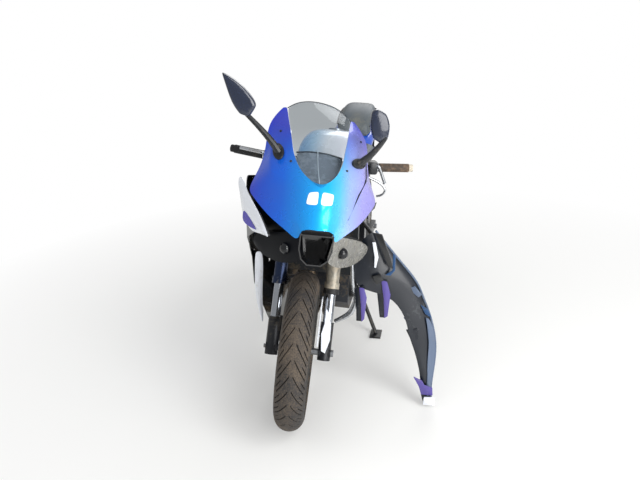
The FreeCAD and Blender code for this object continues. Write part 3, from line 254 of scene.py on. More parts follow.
cowl = sculpt("nose_shell", nose_rows)
outermost = len(nose_rows[0]) - 1
# the cowl's outer edge stays sharp, and the fold beside it nearly so
sharpness = {outermost - 1: 0.6, outermost: 1.0}
folds = cowl.data.attributes.new("crease_edge", "FLOAT", "EDGE")
for fold in cowl.data.edges:
    first, second = [number % (outermost + 1) for number in fold.vertices]
    if first == second:
        folds.data[fold.index].value = sharpness.get(first, 0)
finish(cowl, TWISTED, nose_paint, mirrored=True, levels=3, wall=3, shoved=True, lining=bare_abs,
       covers=["nose_cowl"])


# Windscreen
# A bubble vacuum-formed from lightly smoked acrylic sheet, 2.5 mm thick, its top edge sanded round and
# its lower end tucked between the cowl's arms.

# clear with a grey cast; a low IOR, because so thin a sheet hardly bends what is behind it
screen_acrylic, _ = start_material("smoked_acrylic", Base_Color=linear("D3DAE0"), Roughness=0.04,
                                   Transmission_Weight=1.0, IOR=1.12, Specular_IOR_Level=0.4)
# a sheet seen along its edge is darker than its face
edge_tint = grimy("screen_edge_tint", "34383E", "66665F", share=0.2, rough=(0.25, 0.6))

screen_rise = (
    # half the width, y, height of the edge and rise of the middle over it, from the foot upwards
    (4, -761, 941, 3), (51, -712, 961, 24), (79, -650, 992, 38), (89, -600, 1022, 46),
    (99, -545, 1061, 50), (107, -490, 1081, 52), (113, -440, 1097, 50), (118, -402, 1113, 44),
)
screen_curve = ((-1, 0), (-0.8, 0.5), (-0.4, 0.9), (0, 1), (0.4, 0.9), (0.8, 0.5), (1, 0))
screen_rows = []
for half, y, edge, rise in screen_rise:
    screen_rows.append([(share * half, y, edge + rise * lift) for share, lift in screen_curve])
finish(sculpt("screen_bubble", screen_rows), TWISTED, screen_acrylic, levels=2, wall=2.5, shoved=True,
       covers=["windscreen"])


def tube(name, points, radius, radii=()):
    """A round bar along points in mm, made a mesh; radii scales its radius point by point."""
    line = bpy.data.curves.new(name, "CURVE")
    line.dimensions = "3D"
    line.bevel_depth = radius / 1000
    line.bevel_resolution = 3
    line.use_fill_caps = True
    run = line.splines.new("NURBS")
    run.points.add(len(points) - 1)
    for spot, point in zip(run.points, points):
        spot.co = (*(Vector(point) / 1000), 1)
    for spot, scale in zip(run.points, radii):
        spot.radius = scale
    run.order_u = 3
    run.use_endpoint_u = True
    run.resolution_u = 6
    piece = bpy.data.objects.new(name, line)
    scene.collection.objects.link(piece)
    bpy.ops.object.select_all(action="DESELECT")
    piece.select_set(True)
    bpy.context.view_layer.objects.active = piece
    bpy.ops.object.convert(target="MESH")
    return bpy.context.object


top_edge = tube("screen_top_edge", [(x, y - 1, z) for x, y, z in screen_rows[-1]], 1.6)
finish(top_edge, TWISTED, edge_tint, shoved=True)


# Dash cover
# A vinyl-covered moulding that fills the cowl's opening under the screen, welded down its middle and held
# along its back edge by a dark strip. The pale line along the weld is a painted highlight.

# vinyl bleached by the sun: grey, in paler streaks
dash_vinyl = grimy("streaked_dash_cover", "7F868E", "A3A8AB", share=0.45, grit=16, relief=0.2,
                   rough=(0.25, 0.5))
# painted highlight: a pale line along the weld, where it catches the light
dash_seam_highlight = grimy("dash_seam_painted_highlight", "E8ECEE", "B9BAB6", share=0.15, relief=0.1, rough=(0.3, 0.5))

dash_line = ((8, -748, 922), (46, -698, 936), (68, -640, 956), (74, -585, 982), (76, -552, 998))
dash_rows = []
for half, y, z in dash_line:
    dash_rows.append([(share * half + 3, y, z + 9 * (1 - share * share))
                      for share in (-1.02, -0.6, 0, 0.6, 1.12)])
finish(sculpt("dash_cover", dash_rows), TWISTED, dash_vinyl, levels=2, wall=2, shoved=True)
finish(tube("dash_edge", dash_rows[-1], 3), TWISTED, edge_tint, shoved=True)
weld_line = [(0, y - 2, z + 10) for _, y, z in dash_line]
finish(tube("dash_seam", weld_line, 1.6), TWISTED, dash_seam_highlight, shoved=True)


# Marks on the nose
# Two slanted blocks of white vinyl film are stuck on its front, and black nylon rivets with a 9 mm head
# hold the cowl to its stay and the screen.

# cast vinyl: plain white with a low sheen, hardly dirty
white_film = grimy("white_vinyl_film", "F4F4F2", "D2CEC6", share=0.12, relief=0.05, rough=(0.3, 0.5))
# moulded nylon: black, a little rough
rivet_nylon = grimy("black_nylon_rivet", "14161A", "4E4A44", share=0.2, rough=(0.45, 0.7))


def on_shell(x, z):
    """The point of the nose shell straight behind (x, z), in mm, and the way that its skin faces."""
    back = TWISTED.inverted()
    start = TWISTED @ Vector((x / 1000, -1.2, z / 1000))
    _, spot, facing, _ = cowl.ray_cast(start, TWISTED.to_3x3() @ Vector((0, 1, 0)))
    return back @ spot * 1000, back.to_3x3() @ facing


number_blocks = (
    # corners as (x, z): upper right and upper left, then lower left and lower right, as the rider has them
    ("number_block_left", ((-39, 921.7), (-8, 928.2), (-9.5, 892), (-46, 888))),
    ("number_block_right", ((5, 928.2), (42.8, 921.3), (38.3, 890.6), (0, 893.5))),
)
thirds = (0, 0.33, 0.67, 1)
for name, corners in number_blocks:
    upper_right, upper_left, lower_left, lower_right = [Vector(corner) for corner in corners]
    rows = []
    for down in thirds:
        row = []
        for across in thirds:
            upper = upper_right.lerp(upper_left, across)
            x, z = upper.lerp(lower_right.lerp(lower_left, across), down)
            spot, facing = on_shell(x, z)
            row.append(spot + facing * 1.2)
        rows.append(row)
    finish(sculpt(name, rows), TWISTED, white_film, levels=1, wall=0.8)

for number, (x, z) in enumerate(((-104, 988), (87, 978), (-146, 1060), (144, 1046)), start=1):
    spot, _ = on_shell(x, z)
    rivet = begin("cowl_rivet_%d" % number, bpy.ops.mesh.primitive_uv_sphere_add, segments=12, ring_count=8,
                  radius=0.0045)
    rivet.data.transform(Matrix.Translation(spot / 1000))
    finish(rivet, TWISTED, rivet_nylon)


# Under the brow
# Black sheets behind the cowl's lower edge fill the gaps over the duct and beside the lamps: painted shade
# for the dark space behind them. On the left a black strip down the cowl's side is painted shade in a
# crease.

# ABS moulded black all through, as the lamps' housings are: dark and half matt. The same black is painted
# shade in the gaps under the brow and in the crease down the cowl's side.
black_abs_and_shade = grimy("black_housing_abs_and_painted_shade", "0A0C10", "37352F", share=0.15, rough=(0.35, 0.6))


def plate(name, corners, depth):
    """A flat outline given thickness: corners in mm, depth the vector that it is extruded along."""
    piece = begin(name, bpy.ops.mesh.primitive_circle_add, vertices=len(corners), radius=1,
                  fill_type="NGON")
    for point, corner in zip(piece.data.vertices, corners):
        point.co = Vector(corner) / 1000
    bpy.ops.object.mode_set(mode="EDIT")
    bpy.ops.mesh.select_all(action="SELECT")
    bpy.ops.mesh.extrude_region_move(TRANSFORM_OT_translate={"value": Vector(depth) / 1000})
    bpy.ops.object.mode_set(mode="OBJECT")
    return piece


# painted shade: a black sheet behind the lip, where the space over the duct looks dark
duct_gap_shade = plate("duct_gap_shade", ((-52, -806, 796), (52, -806, 796), (44, -808, 824), (-44, -808, 824)),
                  (0, 3, 0))
finish(duct_gap_shade, TWISTED, black_abs_and_shade, shoved=True)

# painted shade: black sheets beside the lamps, where the gaps under the brow look dark
gap_shade_top = ((62, -790, 800), (120, -700, 790), (190, -610, 838), (222, -560, 850))
for name, side, gap_shade_foot in (
        ("brow_gap_shade_right", -1, ((56, -780, 700), (112, -700, 680), (170, -610, 690), (200, -560, 700))),
        ("brow_gap_shade_left", 1, ((60, -782, 776), (118, -692, 766), (188, -602, 812), (220, -552, 824)))):
    gap_shade_rows = [[(side * x, y, z) for x, y, z in row] for row in (gap_shade_top, gap_shade_foot)]
    finish(sculpt(name, gap_shade_rows), TWISTED, black_abs_and_shade, wall=2)

# painted shade: a thin black strip laid on the cowl along a crease in its side
crease_shadow_line = (
    # x, z and half the width of the painted shadow strip, from the arm's foot down
    (167, 984, 1), (165, 962, 2), (158, 940, 5), (142, 910, 3), (124, 880, 2), (100, 836, 1),
)
crease_shadow_rows = []
for x, z, half in crease_shadow_line:
    spot, facing = on_shell(x, z)
    middle = spot + facing * 0.8
    crease_shadow_rows.append([middle + Vector((-half, 0, 0)), middle + Vector((half, 0, 0))])
finish(sculpt("cowl_crease_shadow", crease_shadow_rows), TWISTED, black_abs_and_shade, wall=0.6)


# Lamps
# Two raked lamps under the brow: a moulded polycarbonate lens over a black housing with a round projector.
# The left lens is scuffed and dusty and stands in the light, so its grey is partly painted light; the right
# lens is coloured near black, painted shade for the lens in the dark.

# polycarbonate rubbed by grit, half clear and mottled; its grey is dust and partly painted sunlight
dusty_sunlit_lens = grimy("scuffed_polycarbonate_painted_sunlit", "A5A49F", "B2AEA4", share=0.4, grit=30, relief=0.0,
                   rough=(0.27, 0.4), Transmission_Weight=0.55, IOR=1.2, Coat_Weight=0.2)
# painted shade: a clear lens over a black housing, coloured dull black as it looks in the shade
shaded_lens = grimy("polycarbonate_painted_shade", "04060C", "26262A", share=0.1, relief=0.05, rough=(0.45, 0.65),
                  Specular_IOR_Level=0.12)
# a polished glass dome over a dark bulb chamber
projector_glass = grimy("projector_glass", "05070C", "2C2C2A", share=0.1, relief=0.02, rough=(0.12, 0.35))

lamp_columns = [
    # upper point, lower point, from the duct outwards
    ((57, -806, 796), (43, -818, 708)), ((88, -776, 784), (66, -790, 680)),
    ((122, -735, 765), (112, -735, 655)), ((160, -682, 742), (156, -672, 644)),
    ((190, -640, 716), (190, -634, 656)), ((206, -614, 696), (205, -612, 672)),
]
for side, name, lens in ((1, "headlight_left", dusty_sunlit_lens), (-1, "headlight_right", shaded_lens)):
    for layer, depth, material in (("lens", 0, lens), ("housing", 24, black_abs_and_shade)):
        rows = []
        for share in (0, 0.2, 0.5, 0.8, 1):
            bulge = 7 * (1 - abs(2 * share - 1) ** 2)
            row = []
            for upper, lower in lamp_columns:
                spot = Vector(upper).lerp(Vector(lower), share)
                row.append((side * (spot.x - 0.3 * depth), spot.y + depth - bulge, spot.z))
            rows.append(row)
        finish(sculpt(name + "_" + layer, rows), TWISTED, material, levels=2, wall=3,
               covers=[name] if layer == "lens" else [])
    projector = begin(name + "_projector", bpy.ops.mesh.primitive_uv_sphere_add, segments=24, ring_count=12,
                      radius=0.02)
    projector.data.transform(Matrix.Translation((side * 0.095, -0.768, 0.724)))
    finish(projector, TWISTED, projector_glass)


# Intake duct, stay and meter
# The duct under the nose is piano-black ABS, open to the front; the stay behind it is powder-coated
# steel, and the meter is a black plastic case with its face to the rider.

# polished black ABS: a sharp gloss that dust takes away in patches
gloss_black = grimy("piano_black_abs", "06080C", "4A4640", share=0.12, rough=(0.12, 0.5), Coat_Weight=0.6)
# baked powder: an even satin black
black_coat = grimy("black_powder_coat", "16181C", "5E564A", share=0.3)
# polypropylene with a fine mould grain: matt and slightly grey
black_plastic = grimy("black_polypropylene", "14171C", "5E564A", share=0.25, rough=(0.35, 0.8))


def wear(material, *nodes):
    """Gives whole CAD parts this material."""
    for name in nodes:
        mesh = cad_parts[name].data
        mesh.materials.clear()
        mesh.materials.append(material)


wear(gloss_black, "intake_duct")
wear(black_coat, "fairing_stay")
wear(black_plastic, "instrument_panel")


# Mirrors
# Leaf-shaped heads of moulded ABS on tapering stalks, each on an oval rubber-lipped foot on the cowl.
# The left one has been folded in by the fall, the right one stands out.

# ABS moulded in navy and clear-coated: it shines along its rounded edge
mirror_navy = grimy("navy_mirror_abs", "141E34", "6A7076", share=0.2, rough=(0.18, 0.5), Coat_Weight=0.5)
# soft rubber: dull black
foot_rubber = grimy("mirror_foot_rubber", "121417", "47443E", share=0.2, rough=(0.55, 0.85))

mirror_shapes = (
    # name, (x, z) of the foot, the stalk's next points, (x, z) round the head
    ("mirror_right", (-148, 1003), ((-180, -590, 1050), (-276, -567, 1122)),
     ((-239, 1151), (-258, 1112), (-290, 1118), (-318, 1150), (-337, 1196), (-356, 1241), (-318, 1226),
      (-280, 1202), (-252, 1173))),
    ("mirror_left", (132, 992), ((180, -592, 1030), (214, -580, 1092)),
     ((154, 1128), (154, 1172), (173, 1181), (203, 1168), (221, 1136), (221, 1094), (201, 1071),
      (170, 1085))),
)
HEAD_Y, HEAD_DEPTH, HEAD_SPREAD = -588, 34, 1.07
FOOT_LONG, FOOT_WIDE, FOOT_HIGH = 40, 21, 10
for name, (x, z), bends, outline in mirror_shapes:
    points = [Vector((across, HEAD_Y, up)) for across, up in outline]
    middle = sum(points, Vector()) / len(points)
    head = plate(name + "_head", [middle + (point - middle) * HEAD_SPREAD for point in points],
                 (0, HEAD_DEPTH, 0))
    finish(head, TWISTED, mirror_navy, edge=9, levels=1, angle=60, covers=[name])
    base, facing = on_shell(x, z)
    finish(tube(name + "_stalk", [base, *bends], 11, radii=(1.3, 1.0, 0.7)), TWISTED, black_plastic)
    along = Vector(bends[0]) - base
    along = (along - facing * along.dot(facing)).normalized()
    oval = []
    for k in range(16):
        turn = 2 * pi * k / 16
        oval.append(base - facing * 4 + along * FOOT_LONG * cos(turn)
                    + facing.cross(along) * FOOT_WIDE * sin(turn))
    finish(plate(name + "_foot", oval, facing * FOOT_HIGH), TWISTED, foot_rubber, edge=3, levels=1)


# Right side panel
# Moulded ABS, clipped together and screwed to the frame: a white cheek with a purple arrow beside the
# lamp, a black middle, a white strip down the front edge, and a flank painted blue and black. The white
# strip is a painted highlight where the front edge catches the light.
# LEANED sets pieces of the frame, drawn on the upright bike, on the bike as it leans.

LEANED = Matrix(((0.9962, 0.0, 0.0872, -0.12664), (0.0001, 1.0, -0.0008, -0.05456),
                 (-0.0872, 0.0008, 0.9962, -0.00055), (0, 0, 0, 1)))
OUTWARDS = Vector((-0.77, -0.64, 0))  # the way that the cheek faces


def two_tone(material):
    """Black lacquer that is blue behind the front edge, above a line that rises towards the tail."""
    where = add(material, "TexCoord").outputs["Object"]
    local = add(material, "Mapping", [("Vector", where),
                                      ("Location", LEANED @ Vector((0, -0.47, 0.33))),
                                      ("Rotation", (0, radians(5), 0))], vector_type="TEXTURE")
    axes = add(material, "SeparateXYZ", [("Vector", local.outputs[0])])
    slope = add(material, "Math", [(0, axes.outputs["Y"]), (1, -0.35), (2, axes.outputs["Z"])],
                operation="MULTIPLY_ADD")
    behind = add(material, "Math", [(0, axes.outputs["Y"]), (1, 0.0)], operation="GREATER_THAN")
    above = add(material, "Math", [(0, slope.outputs[0]), (1, 0.0)], operation="GREATER_THAN")
    painted = add(material, "Math", [(0, behind.outputs[0]), (1, above.outputs[0])],
                  operation="MULTIPLY")
    coat = add(material, "Mix", [("Factor", painted.outputs[0]), (FIRST, linear("07090D")),
                                 (SECOND, linear("1A4FC0"))], data_type="RGBA")
    return coat.outputs[MIXED]


# lacquer under clear coat: deep colour with a sharp gloss, worn dull where dust lies
flank_blue = grimy("blue_side_lacquer", "1A4FC0", "6E7288", share=0.2, rough=(0.2, 0.5), Coat_Weight=1.0)
flank_two_tone = grimy("blue_over_black_lacquer", two_tone, "6E7288", share=0.2, rough=(0.2, 0.5),
                       Coat_Weight=1.0)
# white lacquer; down the right panel's front edge the same white is a painted highlight
white_paint_and_highlight = grimy("white_side_lacquer_and_highlight", "E6EAF2", "B4AFA6", share=0.15, rough=(0.2, 0.5), Coat_Weight=0.8)
# vinyl film: flat strong colour with a low sheen, chalky where it was torn
purple_film = grimy("purple_vinyl_film", "3A2CA6", "6A6290", share=0.15, rough=(0.25, 0.5))
torn_purple_film = grimy("torn_purple_film", "554A92", "7A7290", share=0.3, rough=(0.4, 0.7))


def wear_by(node, place, first, second, takes_second):
    """Gives a CAD part two materials, told apart by a face's centre in mm and the way that it faces."""
    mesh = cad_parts[node].data
    mesh.materials.clear()
    mesh.materials.append(first)
    mesh.materials.append(second)
    back = place.inverted()
    for face in mesh.polygons:
        face.material_index = int(takes_second(back @ face.center * 1000, back.to_3x3() @ face.normal))


wear_by("side_fairing_right", LEANED, gloss_black, flank_two_tone, lambda spot, facing: facing.x < -0.2)

cheek_pairs = (
    # upper edge, lower edge, from the tip beside the lamp backwards
    ((-80, -777, 768), (-84, -774, 764)), ((-133, -709, 817), (-128, -722, 754)),
    ((-166, -668, 838), (-176, -668, 733)), ((-211, -613, 869), (-217, -616, 760)),
    ((-229, -586, 902), (-236, -591, 792)), ((-253, -556, 902), (-249, -566, 846)),
)
cheek_rows = []
for upper, lower in cheek_pairs:
    cheek_rows.append([Vector(upper).lerp(Vector(lower), share) + OUTWARDS * bulge
                       for share, bulge in ((0, 5), (0.3, 10), (0.7, 10), (1, 5))])
finish(sculpt("cheek_panel", cheek_rows), LEANED, white_paint_and_highlight, levels=2, wall=3)

upper_back, upper_front, tip, lower_front, lower_back = [
    Vector(spot) + OUTWARDS * 13 for spot in
    ((-215, -610, 800), (-172, -664, 784), (-137, -708, 760), (-179, -659, 750), (-218, -613, 752))]
arrow_rows = [[upper_back, upper_back.lerp(lower_back, 0.5), lower_back],
              [upper_front, upper_front.lerp(lower_front, 0.5), lower_front],
              [tip.lerp(upper_front, 0.03), tip, tip.lerp(lower_front, 0.03)]]
finish(sculpt("cheek_arrow", arrow_rows), LEANED, purple_film, levels=1, wall=0.8)

edge_stations = (
    # height, x of the strip's inner and outer edge, x and y of the flank behind it
    (604, -176, -206, -226, -512), (530, -174, -207, -224, -512), (440, -178, -208, -218, -498),
    (370, -176, -196, -211, -470), (305, -172, -180, -203, -438),
)
edge_highlight_rows = []
web_rows = []
for z, inner, outer, flank, back in edge_stations:
    edge_highlight_rows.append([(inner, -536, z), ((inner + outer) / 2, -543, z), (outer, -538, z)])
    web_rows.append([(outer + 1, -536, z), ((outer + flank) / 2 - 1, (back - 536) / 2, z),
                     (flank, back, z)])
# painted highlight: a white strip down the front edge, where it catches the light
finish(sculpt("front_edge_highlight", edge_highlight_rows), LEANED, white_paint_and_highlight, levels=2, wall=3)
finish(sculpt("front_edge_web", web_rows), LEANED, gloss_black, levels=2, wall=3)


# Left side panel
# The same moulding, torn from its lower mounts and folded outwards, so that its dark primed inner side
# faces the front. Its edges are scraped to blue and grey, two legs of it hang loose, and scraps of its
# purple and white outer side show on them and near the ground. A paler grey patch low on its outer part
# is painted sheen.

# sprayed primer: near-black navy, satin
primer_navy = grimy("primed_inner_side", "0A111C", "3E4246", share=0.25, rough=(0.3, 0.7), Coat_Weight=0.1)
# broken edges: paint ground thin by the road, dull and powdery
edge_blue = grimy("scraped_blue_edge", "1C4470", "5E6670", share=0.2, rough=(0.3, 0.6))
# the same grey is also a painted sheen on the panel's lower outer part
grey_edge_and_sheen = grimy("scraped_edge_and_painted_sheen", "55637A", "6A6A6C", share=0.3, rough=(0.4, 0.7))

torn_rows = [
    # from the inner edge to the outer edge, and down the panel from the bracket to the ground
    ((178, -540, 662), (205, -540, 700), (228, -534, 722), (248, -528, 733)),
    ((180, -560, 600), (235, -552, 640), (290, -535, 655), (322, -508, 640)),
    ((187, -590, 515), (265, -572, 560), (345, -535, 575), (411, -493, 540)),
    ((318, -548, 498), (365, -535, 500), (415, -512, 495), (440, -492, 478)),
    ((386, -540, 407), (415, -535, 405), (450, -515, 400), (478, -492, 395)),
    ((405, -547, 320), (435, -540, 318), (475, -520, 312), (505, -499, 306)),
    ((428, -542, 275), (455, -540, 262), (485, -525, 246), (511, -508, 232)),
    ((465, -554, 163), (478, -558, 158), (495, -556, 150), (506, -540, 140)),
    ((466, -560, 100), (480, -564, 96), (496, -564, 90), (508, -552, 86)),
    ((484, -572, 56), (492, -576, 56), (506, -580, 57), (518, -576, 58)),
]
finish(sculpt("torn_side_panel", torn_rows), LEANED, primer_navy, levels=2, wall=3,
       covers=["side_fairing_left"])

scraps = (
    # name, material, y, then (x, z) round the outline
    ("torn_leg_inner", primer_navy, -588,
     ((190, 520), (222, 534), (228, 470), (224, 388), (204, 388), (200, 450))),
    ("torn_leg_outer", primer_navy, -560,
     ((262, 556), (306, 556), (308, 470), (306, 400), (288, 400), (280, 450))),
    ("torn_leg_inner_edge", torn_purple_film, -592,
     ((208, 528), (226, 526), (238, 490), (234, 400), (224, 388), (216, 470))),
    ("torn_leg_outer_edge", torn_purple_film, -564,
     ((284, 556), (306, 550), (322, 500), (318, 410), (306, 400), (298, 480))),
    ("purple_scrap", torn_purple_film, -574,
     ((436, 170), (470, 158), (480, 140), (512, 132), (516, 98), (472, 96), (460, 130))),
    ("white_scrap", white_paint_and_highlight, -584, ((484, 92), (524, 98), (530, 62), (482, 58))),
    ("flake_upper", grey_edge_and_sheen, -516, ((386, 513), (407, 524), (435, 492), (424, 479), (402, 496))),
    ("flake_middle", edge_blue, -514, ((434, 450), (463, 434), (482, 399), (455, 413))),
    ("flake_inner", edge_blue, -534, ((376, 397), (407, 406), (425, 363), (400, 368))),
    ("flake_low", primer_navy, -540, ((390, 350), (431, 361), (440, 316), (413, 306))),
    ("panel_clip", gloss_black, -580, ((249, 572), (280, 587), (294, 561), (269, 542))),
    ("panel_clip_edge", edge_blue, -562,
     ((319, 663), (329, 657), (331, 599), (316, 576), (296, 576), (321, 598))),
    ("panel_bracket", gloss_black, -568,
     ((250, 738), (275, 735), (310, 651), (324, 605), (303, 618), (277, 673))),
    ("white_upper_edge", white_paint_and_highlight, -572,
     ((242, 702), (254, 704), (268, 646), (262, 604), (255, 606), (254, 646))),
)
SCRAP_THICK = 5
for name, material, y, outline in scraps:
    scrap = plate(name, [(x, y, z) for x, z in outline], (0, SCRAP_THICK, 0))
    finish(scrap, LEANED, material, edge=1.5)

outer_edge = [Vector(row[-1]) + Vector((0, -3, 0)) for row in torn_rows]
finish(tube("torn_outer_edge", outer_edge, 4), LEANED, grey_edge_and_sheen)

# painted sheen: a paler grey sheet over the lower outer part of the panel, where it catches the light
sheen_rows = []
for row, share in zip(torn_rows[4:9], (0.05, 0.3, 0.55, 0.6, 0.6)):
    inner = Vector(row[3]).lerp(Vector(row[1]), share)
    sheen_rows.append([Vector(spot) + Vector((0, -7, 0)) for spot in (inner, row[2], row[3])])
finish(sculpt("torn_panel_sheen", sheen_rows), LEANED, grey_edge_and_sheen, levels=2, wall=2)


# Fuel tank
# Two halves of pressed steel welded along a seam, humped above and narrow at the knees, painted pearl white
# over blue, with a turned alloy filler cap. Its dome shows pale through the screen.

# the same lacquer as the nose's, over white: pale on top, blue towards the knees
pearl = shift_paint("pearl_tank_lacquer", LEANED, (0, 0, 0.85), 0.2, (0.3, 0.4),
                    [(0.0, "3E66C0"), (1.0, "B4BCEC"), (0.2, "6EA6D8"), (0.36, "B4D2E8"), (0.5, "EEF2F6"),
                     (0.75, "F2F0F6"), (0.88, "D6D8F0")])
# anodised aluminium: a soft grey shine
satin_alloy = grimy("satin_anodised_alloy", "A4A8AE", "8A8070", share=0.2, relief=0.05, rough=(0.3, 0.6),
                    Metallic=1.0)


def ring(y, half, over=0):
    """A ring at y from the (x, z) points of its left half, moved over sideways."""
    return [(over + x, y, z) for x, z in half] + [(over - x, y, z) for x, z in half[::-1]]


def cap_ends(piece):
    """Closes the open ends of a tube-like grid once its seam is merged."""
    bpy.context.view_layer.objects.active = piece
    bpy.ops.object.mode_set(mode="EDIT")
    bpy.ops.mesh.select_all(action="SELECT")
    bpy.ops.mesh.remove_doubles(threshold=WELD)
    bpy.ops.mesh.select_all(action="SELECT")
    bpy.ops.mesh.fill_holes(sides=0)
    bpy.ops.object.mode_set(mode="OBJECT")
    return piece


tank_stations = (
    # y, half widths of the base and the widest point, heights of the base and the shoulder, then the
    # half width and the height of the top
    (-302, 52, 80, 852, 874, 48, 890), (-292, 66, 94, 848, 884, 64, 908),
    (-230, 112, 134, 800, 930, 98, 974), (-110, 122, 144, 770, 962, 100, 1014),
    (20, 106, 116, 740, 912, 74, 968), (110, 86, 88, 722, 838, 56, 868),
    (122, 82, 82, 722, 824, 46, 848),
)
tank_rows = []
for y, base, wide, z0, z1, top, z2 in tank_stations:
    rise = z1 - z0
    tank_rows.append(ring(y, [(base, z0), (wide * 0.98, z0 + 0.3 * rise), (wide, z0 + 0.62 * rise),
                              (wide * 0.94, z1), (top, z2 - 3), (top * 0.45, z2 + 4)]))
tank = cap_ends(sculpt("tank_shell", tank_rows, closed=True))
finish(tank, LEANED, pearl, levels=2, covers=["fuel_tank"])

filler = begin("filler_cap", bpy.ops.mesh.primitive_cylinder_add, vertices=40, radius=0.034, depth=0.012)
filler.data.transform(Matrix.Translation((0, -0.02, 0.986)) @ Matrix.Rotation(radians(-18), 4, "X"))
finish(filler, LEANED, satin_alloy, edge=1.5)


# Seats
# Moulded foam under grained grey vinyl, pulled tight over a base pan: the rider's low seat and the
# passenger's pad on the tail, a little to the left. A rubber piping covers the seam round each.

# vinyl with an embossed leather grain, drawn 4 mm wide so that it shows: matt grey
seat_vinyl = grimy("grained_seat_vinyl", "48525A", "77766C", share=0.35, grit=4, relief=0.3,
                   rough=(0.45, 0.8))

seats = (
    # name, how far to the left, the CAD seats that it stands for; then y, half width, base and top height
    ("rider_pad", 0, ["rider_seat"],
     ((124, 62, 776, 818), (140, 74, 772, 824), (220, 112, 764, 808), (330, 132, 780, 822),
      (412, 126, 798, 850), (424, 118, 806, 842))),
    ("passenger_pad", 8, [],
     ((442, 66, 868, 916), (456, 78, 866, 936), (520, 92, 880, 976), (620, 92, 906, 1004),
      (706, 78, 928, 1002), (720, 66, 936, 990))),
)
for name, over, covers, stations in seats:
    rows = []
    for y, half, z0, z1 in stations:
        rise = z1 - z0
        rows.append(ring(y, [(half * 0.9, z0), (half, z0 + 0.3 * rise), (half, z0 + 0.62 * rise),
                             (half * 0.84, z1), (half * 0.4, z1 + 3)], over))
    pad = finish(cap_ends(sculpt(name, rows, closed=True)), LEANED, seat_vinyl, levels=2, covers=covers)
    around = [(over - half - 1, y, z0 + 0.66 * (z1 - z0)) for y, half, z0, z1 in stations[:0:-1]]
    around += [(over + half + 1, y, z0 + 0.66 * (z1 - z0)) for y, half, z0, z1 in stations[1:]]
    finish(tube(name + "_piping", around, 4), LEANED, foot_rubber)


# Tail
# A one-piece ABS tail unit screwed to the tail rails, with the lamp at its end and a black plastic plate
# holder below it.

# acrylic coloured through: clear dark red with a gloss
red_lens = grimy("red_lamp_acrylic", "9C0F14", "6E4A40", share=0.15, relief=0.02, rough=(0.1, 0.4),
                 Transmission_Weight=0.3, Coat_Weight=0.6)

tail_stations = (
    # y, half width, height of the base and of the top
    (330, 96, 742, 776), (342, 104, 744, 786), (428, 106, 800, 884), (560, 114, 836, 910),
    (720, 88, 876, 940), (900, 56, 900, 948), (990, 38, 920, 952), (1000, 32, 924, 948),
)
tail_rows = []
for y, half, z0, z1 in tail_stations:
    rise = z1 - z0
    tail_rows.append(ring(y, [(half * 0.7, z0), (half, z0 + 0.32 * rise), (half, z0 + 0.55 * rise),
                              (half * 0.88, z1)]))
finish(cap_ends(sculpt("tail_shell", tail_rows, closed=True)), LEANED, flank_blue, levels=2,
       covers=["tail_cowl"])

tail_lamp = begin("tail_lamp_lens", bpy.ops.mesh.primitive_cube_add, size=1)
tail_lamp.data.transform(Matrix.Translation((0, 1.0, 0.936)) @ Matrix.Diagonal((0.058, 0.018, 0.02, 1)))
finish(tail_lamp, LEANED, red_lens, edge=5, covers=["tail_light"])
wear(black_plastic, "rear_mudguard")


# Frame, engine and exhaust
# Welded steel tube and plate under black powder coat; a cast alloy engine whose painted covers are held by
# bolts round their edge; headers of bent steel tube, and a black muffler.

# sand-cast aluminium: grey and coarse, with dirt baked on
cast_alloy = grimy("cast_engine_alloy", "3C3F45", "7A6E5C", share=0.5, rough=(0.45, 0.85), Metallic=0.6)
# paint on a casting: black with a weak metallic shine
black_cover = grimy("black_engine_cover", "202226", "6E6454", share=0.4, rough=(0.4, 0.8), Metallic=0.4)
# brazed fins clogged with dust: dark and dull
radiator_core = grimy("radiator_core", "2A2D31", "6E6454", share=0.5, rough=(0.5, 0.85), Metallic=0.5)
# stainless steel tinted straw and brown by heat
header_steel = grimy("heat_tinted_header", "8A7A68", "4E4234", share=0.5, rough=(0.3, 0.7), Metallic=0.9)
# zinc-plated steel: pale metal, rusty brown where the plating has gone
dull_steel = grimy("zinc_plated_steel", "8C8E92", "6E5E48", share=0.5, rough=(0.35, 0.8), Metallic=0.9)

wear(black_coat, "main_frame", "swingarm", "side_stand")
wear(cast_alloy, "engine", "footrests")
wear(black_cover, "engine_covers", "rear_caliper")
wear(radiator_core, "radiator")
wear(header_steel, "exhaust_headers")
wear(black_plastic, "muffler")
wear(dull_steel, "rear_axle", "rear_sprocket", "chain", "rear_disc", "rear_shock")

bolt_circles = (
    # where, its middle in mm, radius of the circle and number of bolts on it
    ("clutch", -147, 30, 300, 65, 8), ("generator", 143, -80, 300, 54, 7),
    ("sprocket_cover", 129, 100, 346, 0, 1), ("case_upper", 123, -120, 410, 0, 1),
    ("case_lower", 123, -150, 250, 0, 1), ("case_rear", 123, 70, 215, 0, 1),
)
for cover, x, y, z, radius, count in bolt_circles:
    for k in range(count):
        turn = 2 * pi * k / count
        spot = Vector((x, y + radius * cos(turn), z + radius * sin(turn))) / 1000
        bolt = begin("%s_bolt_%d" % (cover, k + 1), bpy.ops.mesh.primitive_cylinder_add, vertices=6,
                     radius=0.006, depth=0.008)
        bolt.data.transform(Matrix.Translation(spot) @ Matrix.Rotation(radians(90), 4, "Y"))
        finish(bolt, LEANED, dull_steel, edge=0.8)


# Fork
# Anodised outer tubes in cast clamps over chromed inner tubes that run through a rubber seal into black
# cast feet. The outer tubes are dark: the right one is drawn navy as painted shade, the left one dusty
# beige, which is dust with painted sunlight.
# STEERED sets pieces of the turning group, drawn with the bars straight, on the bike as it stands.

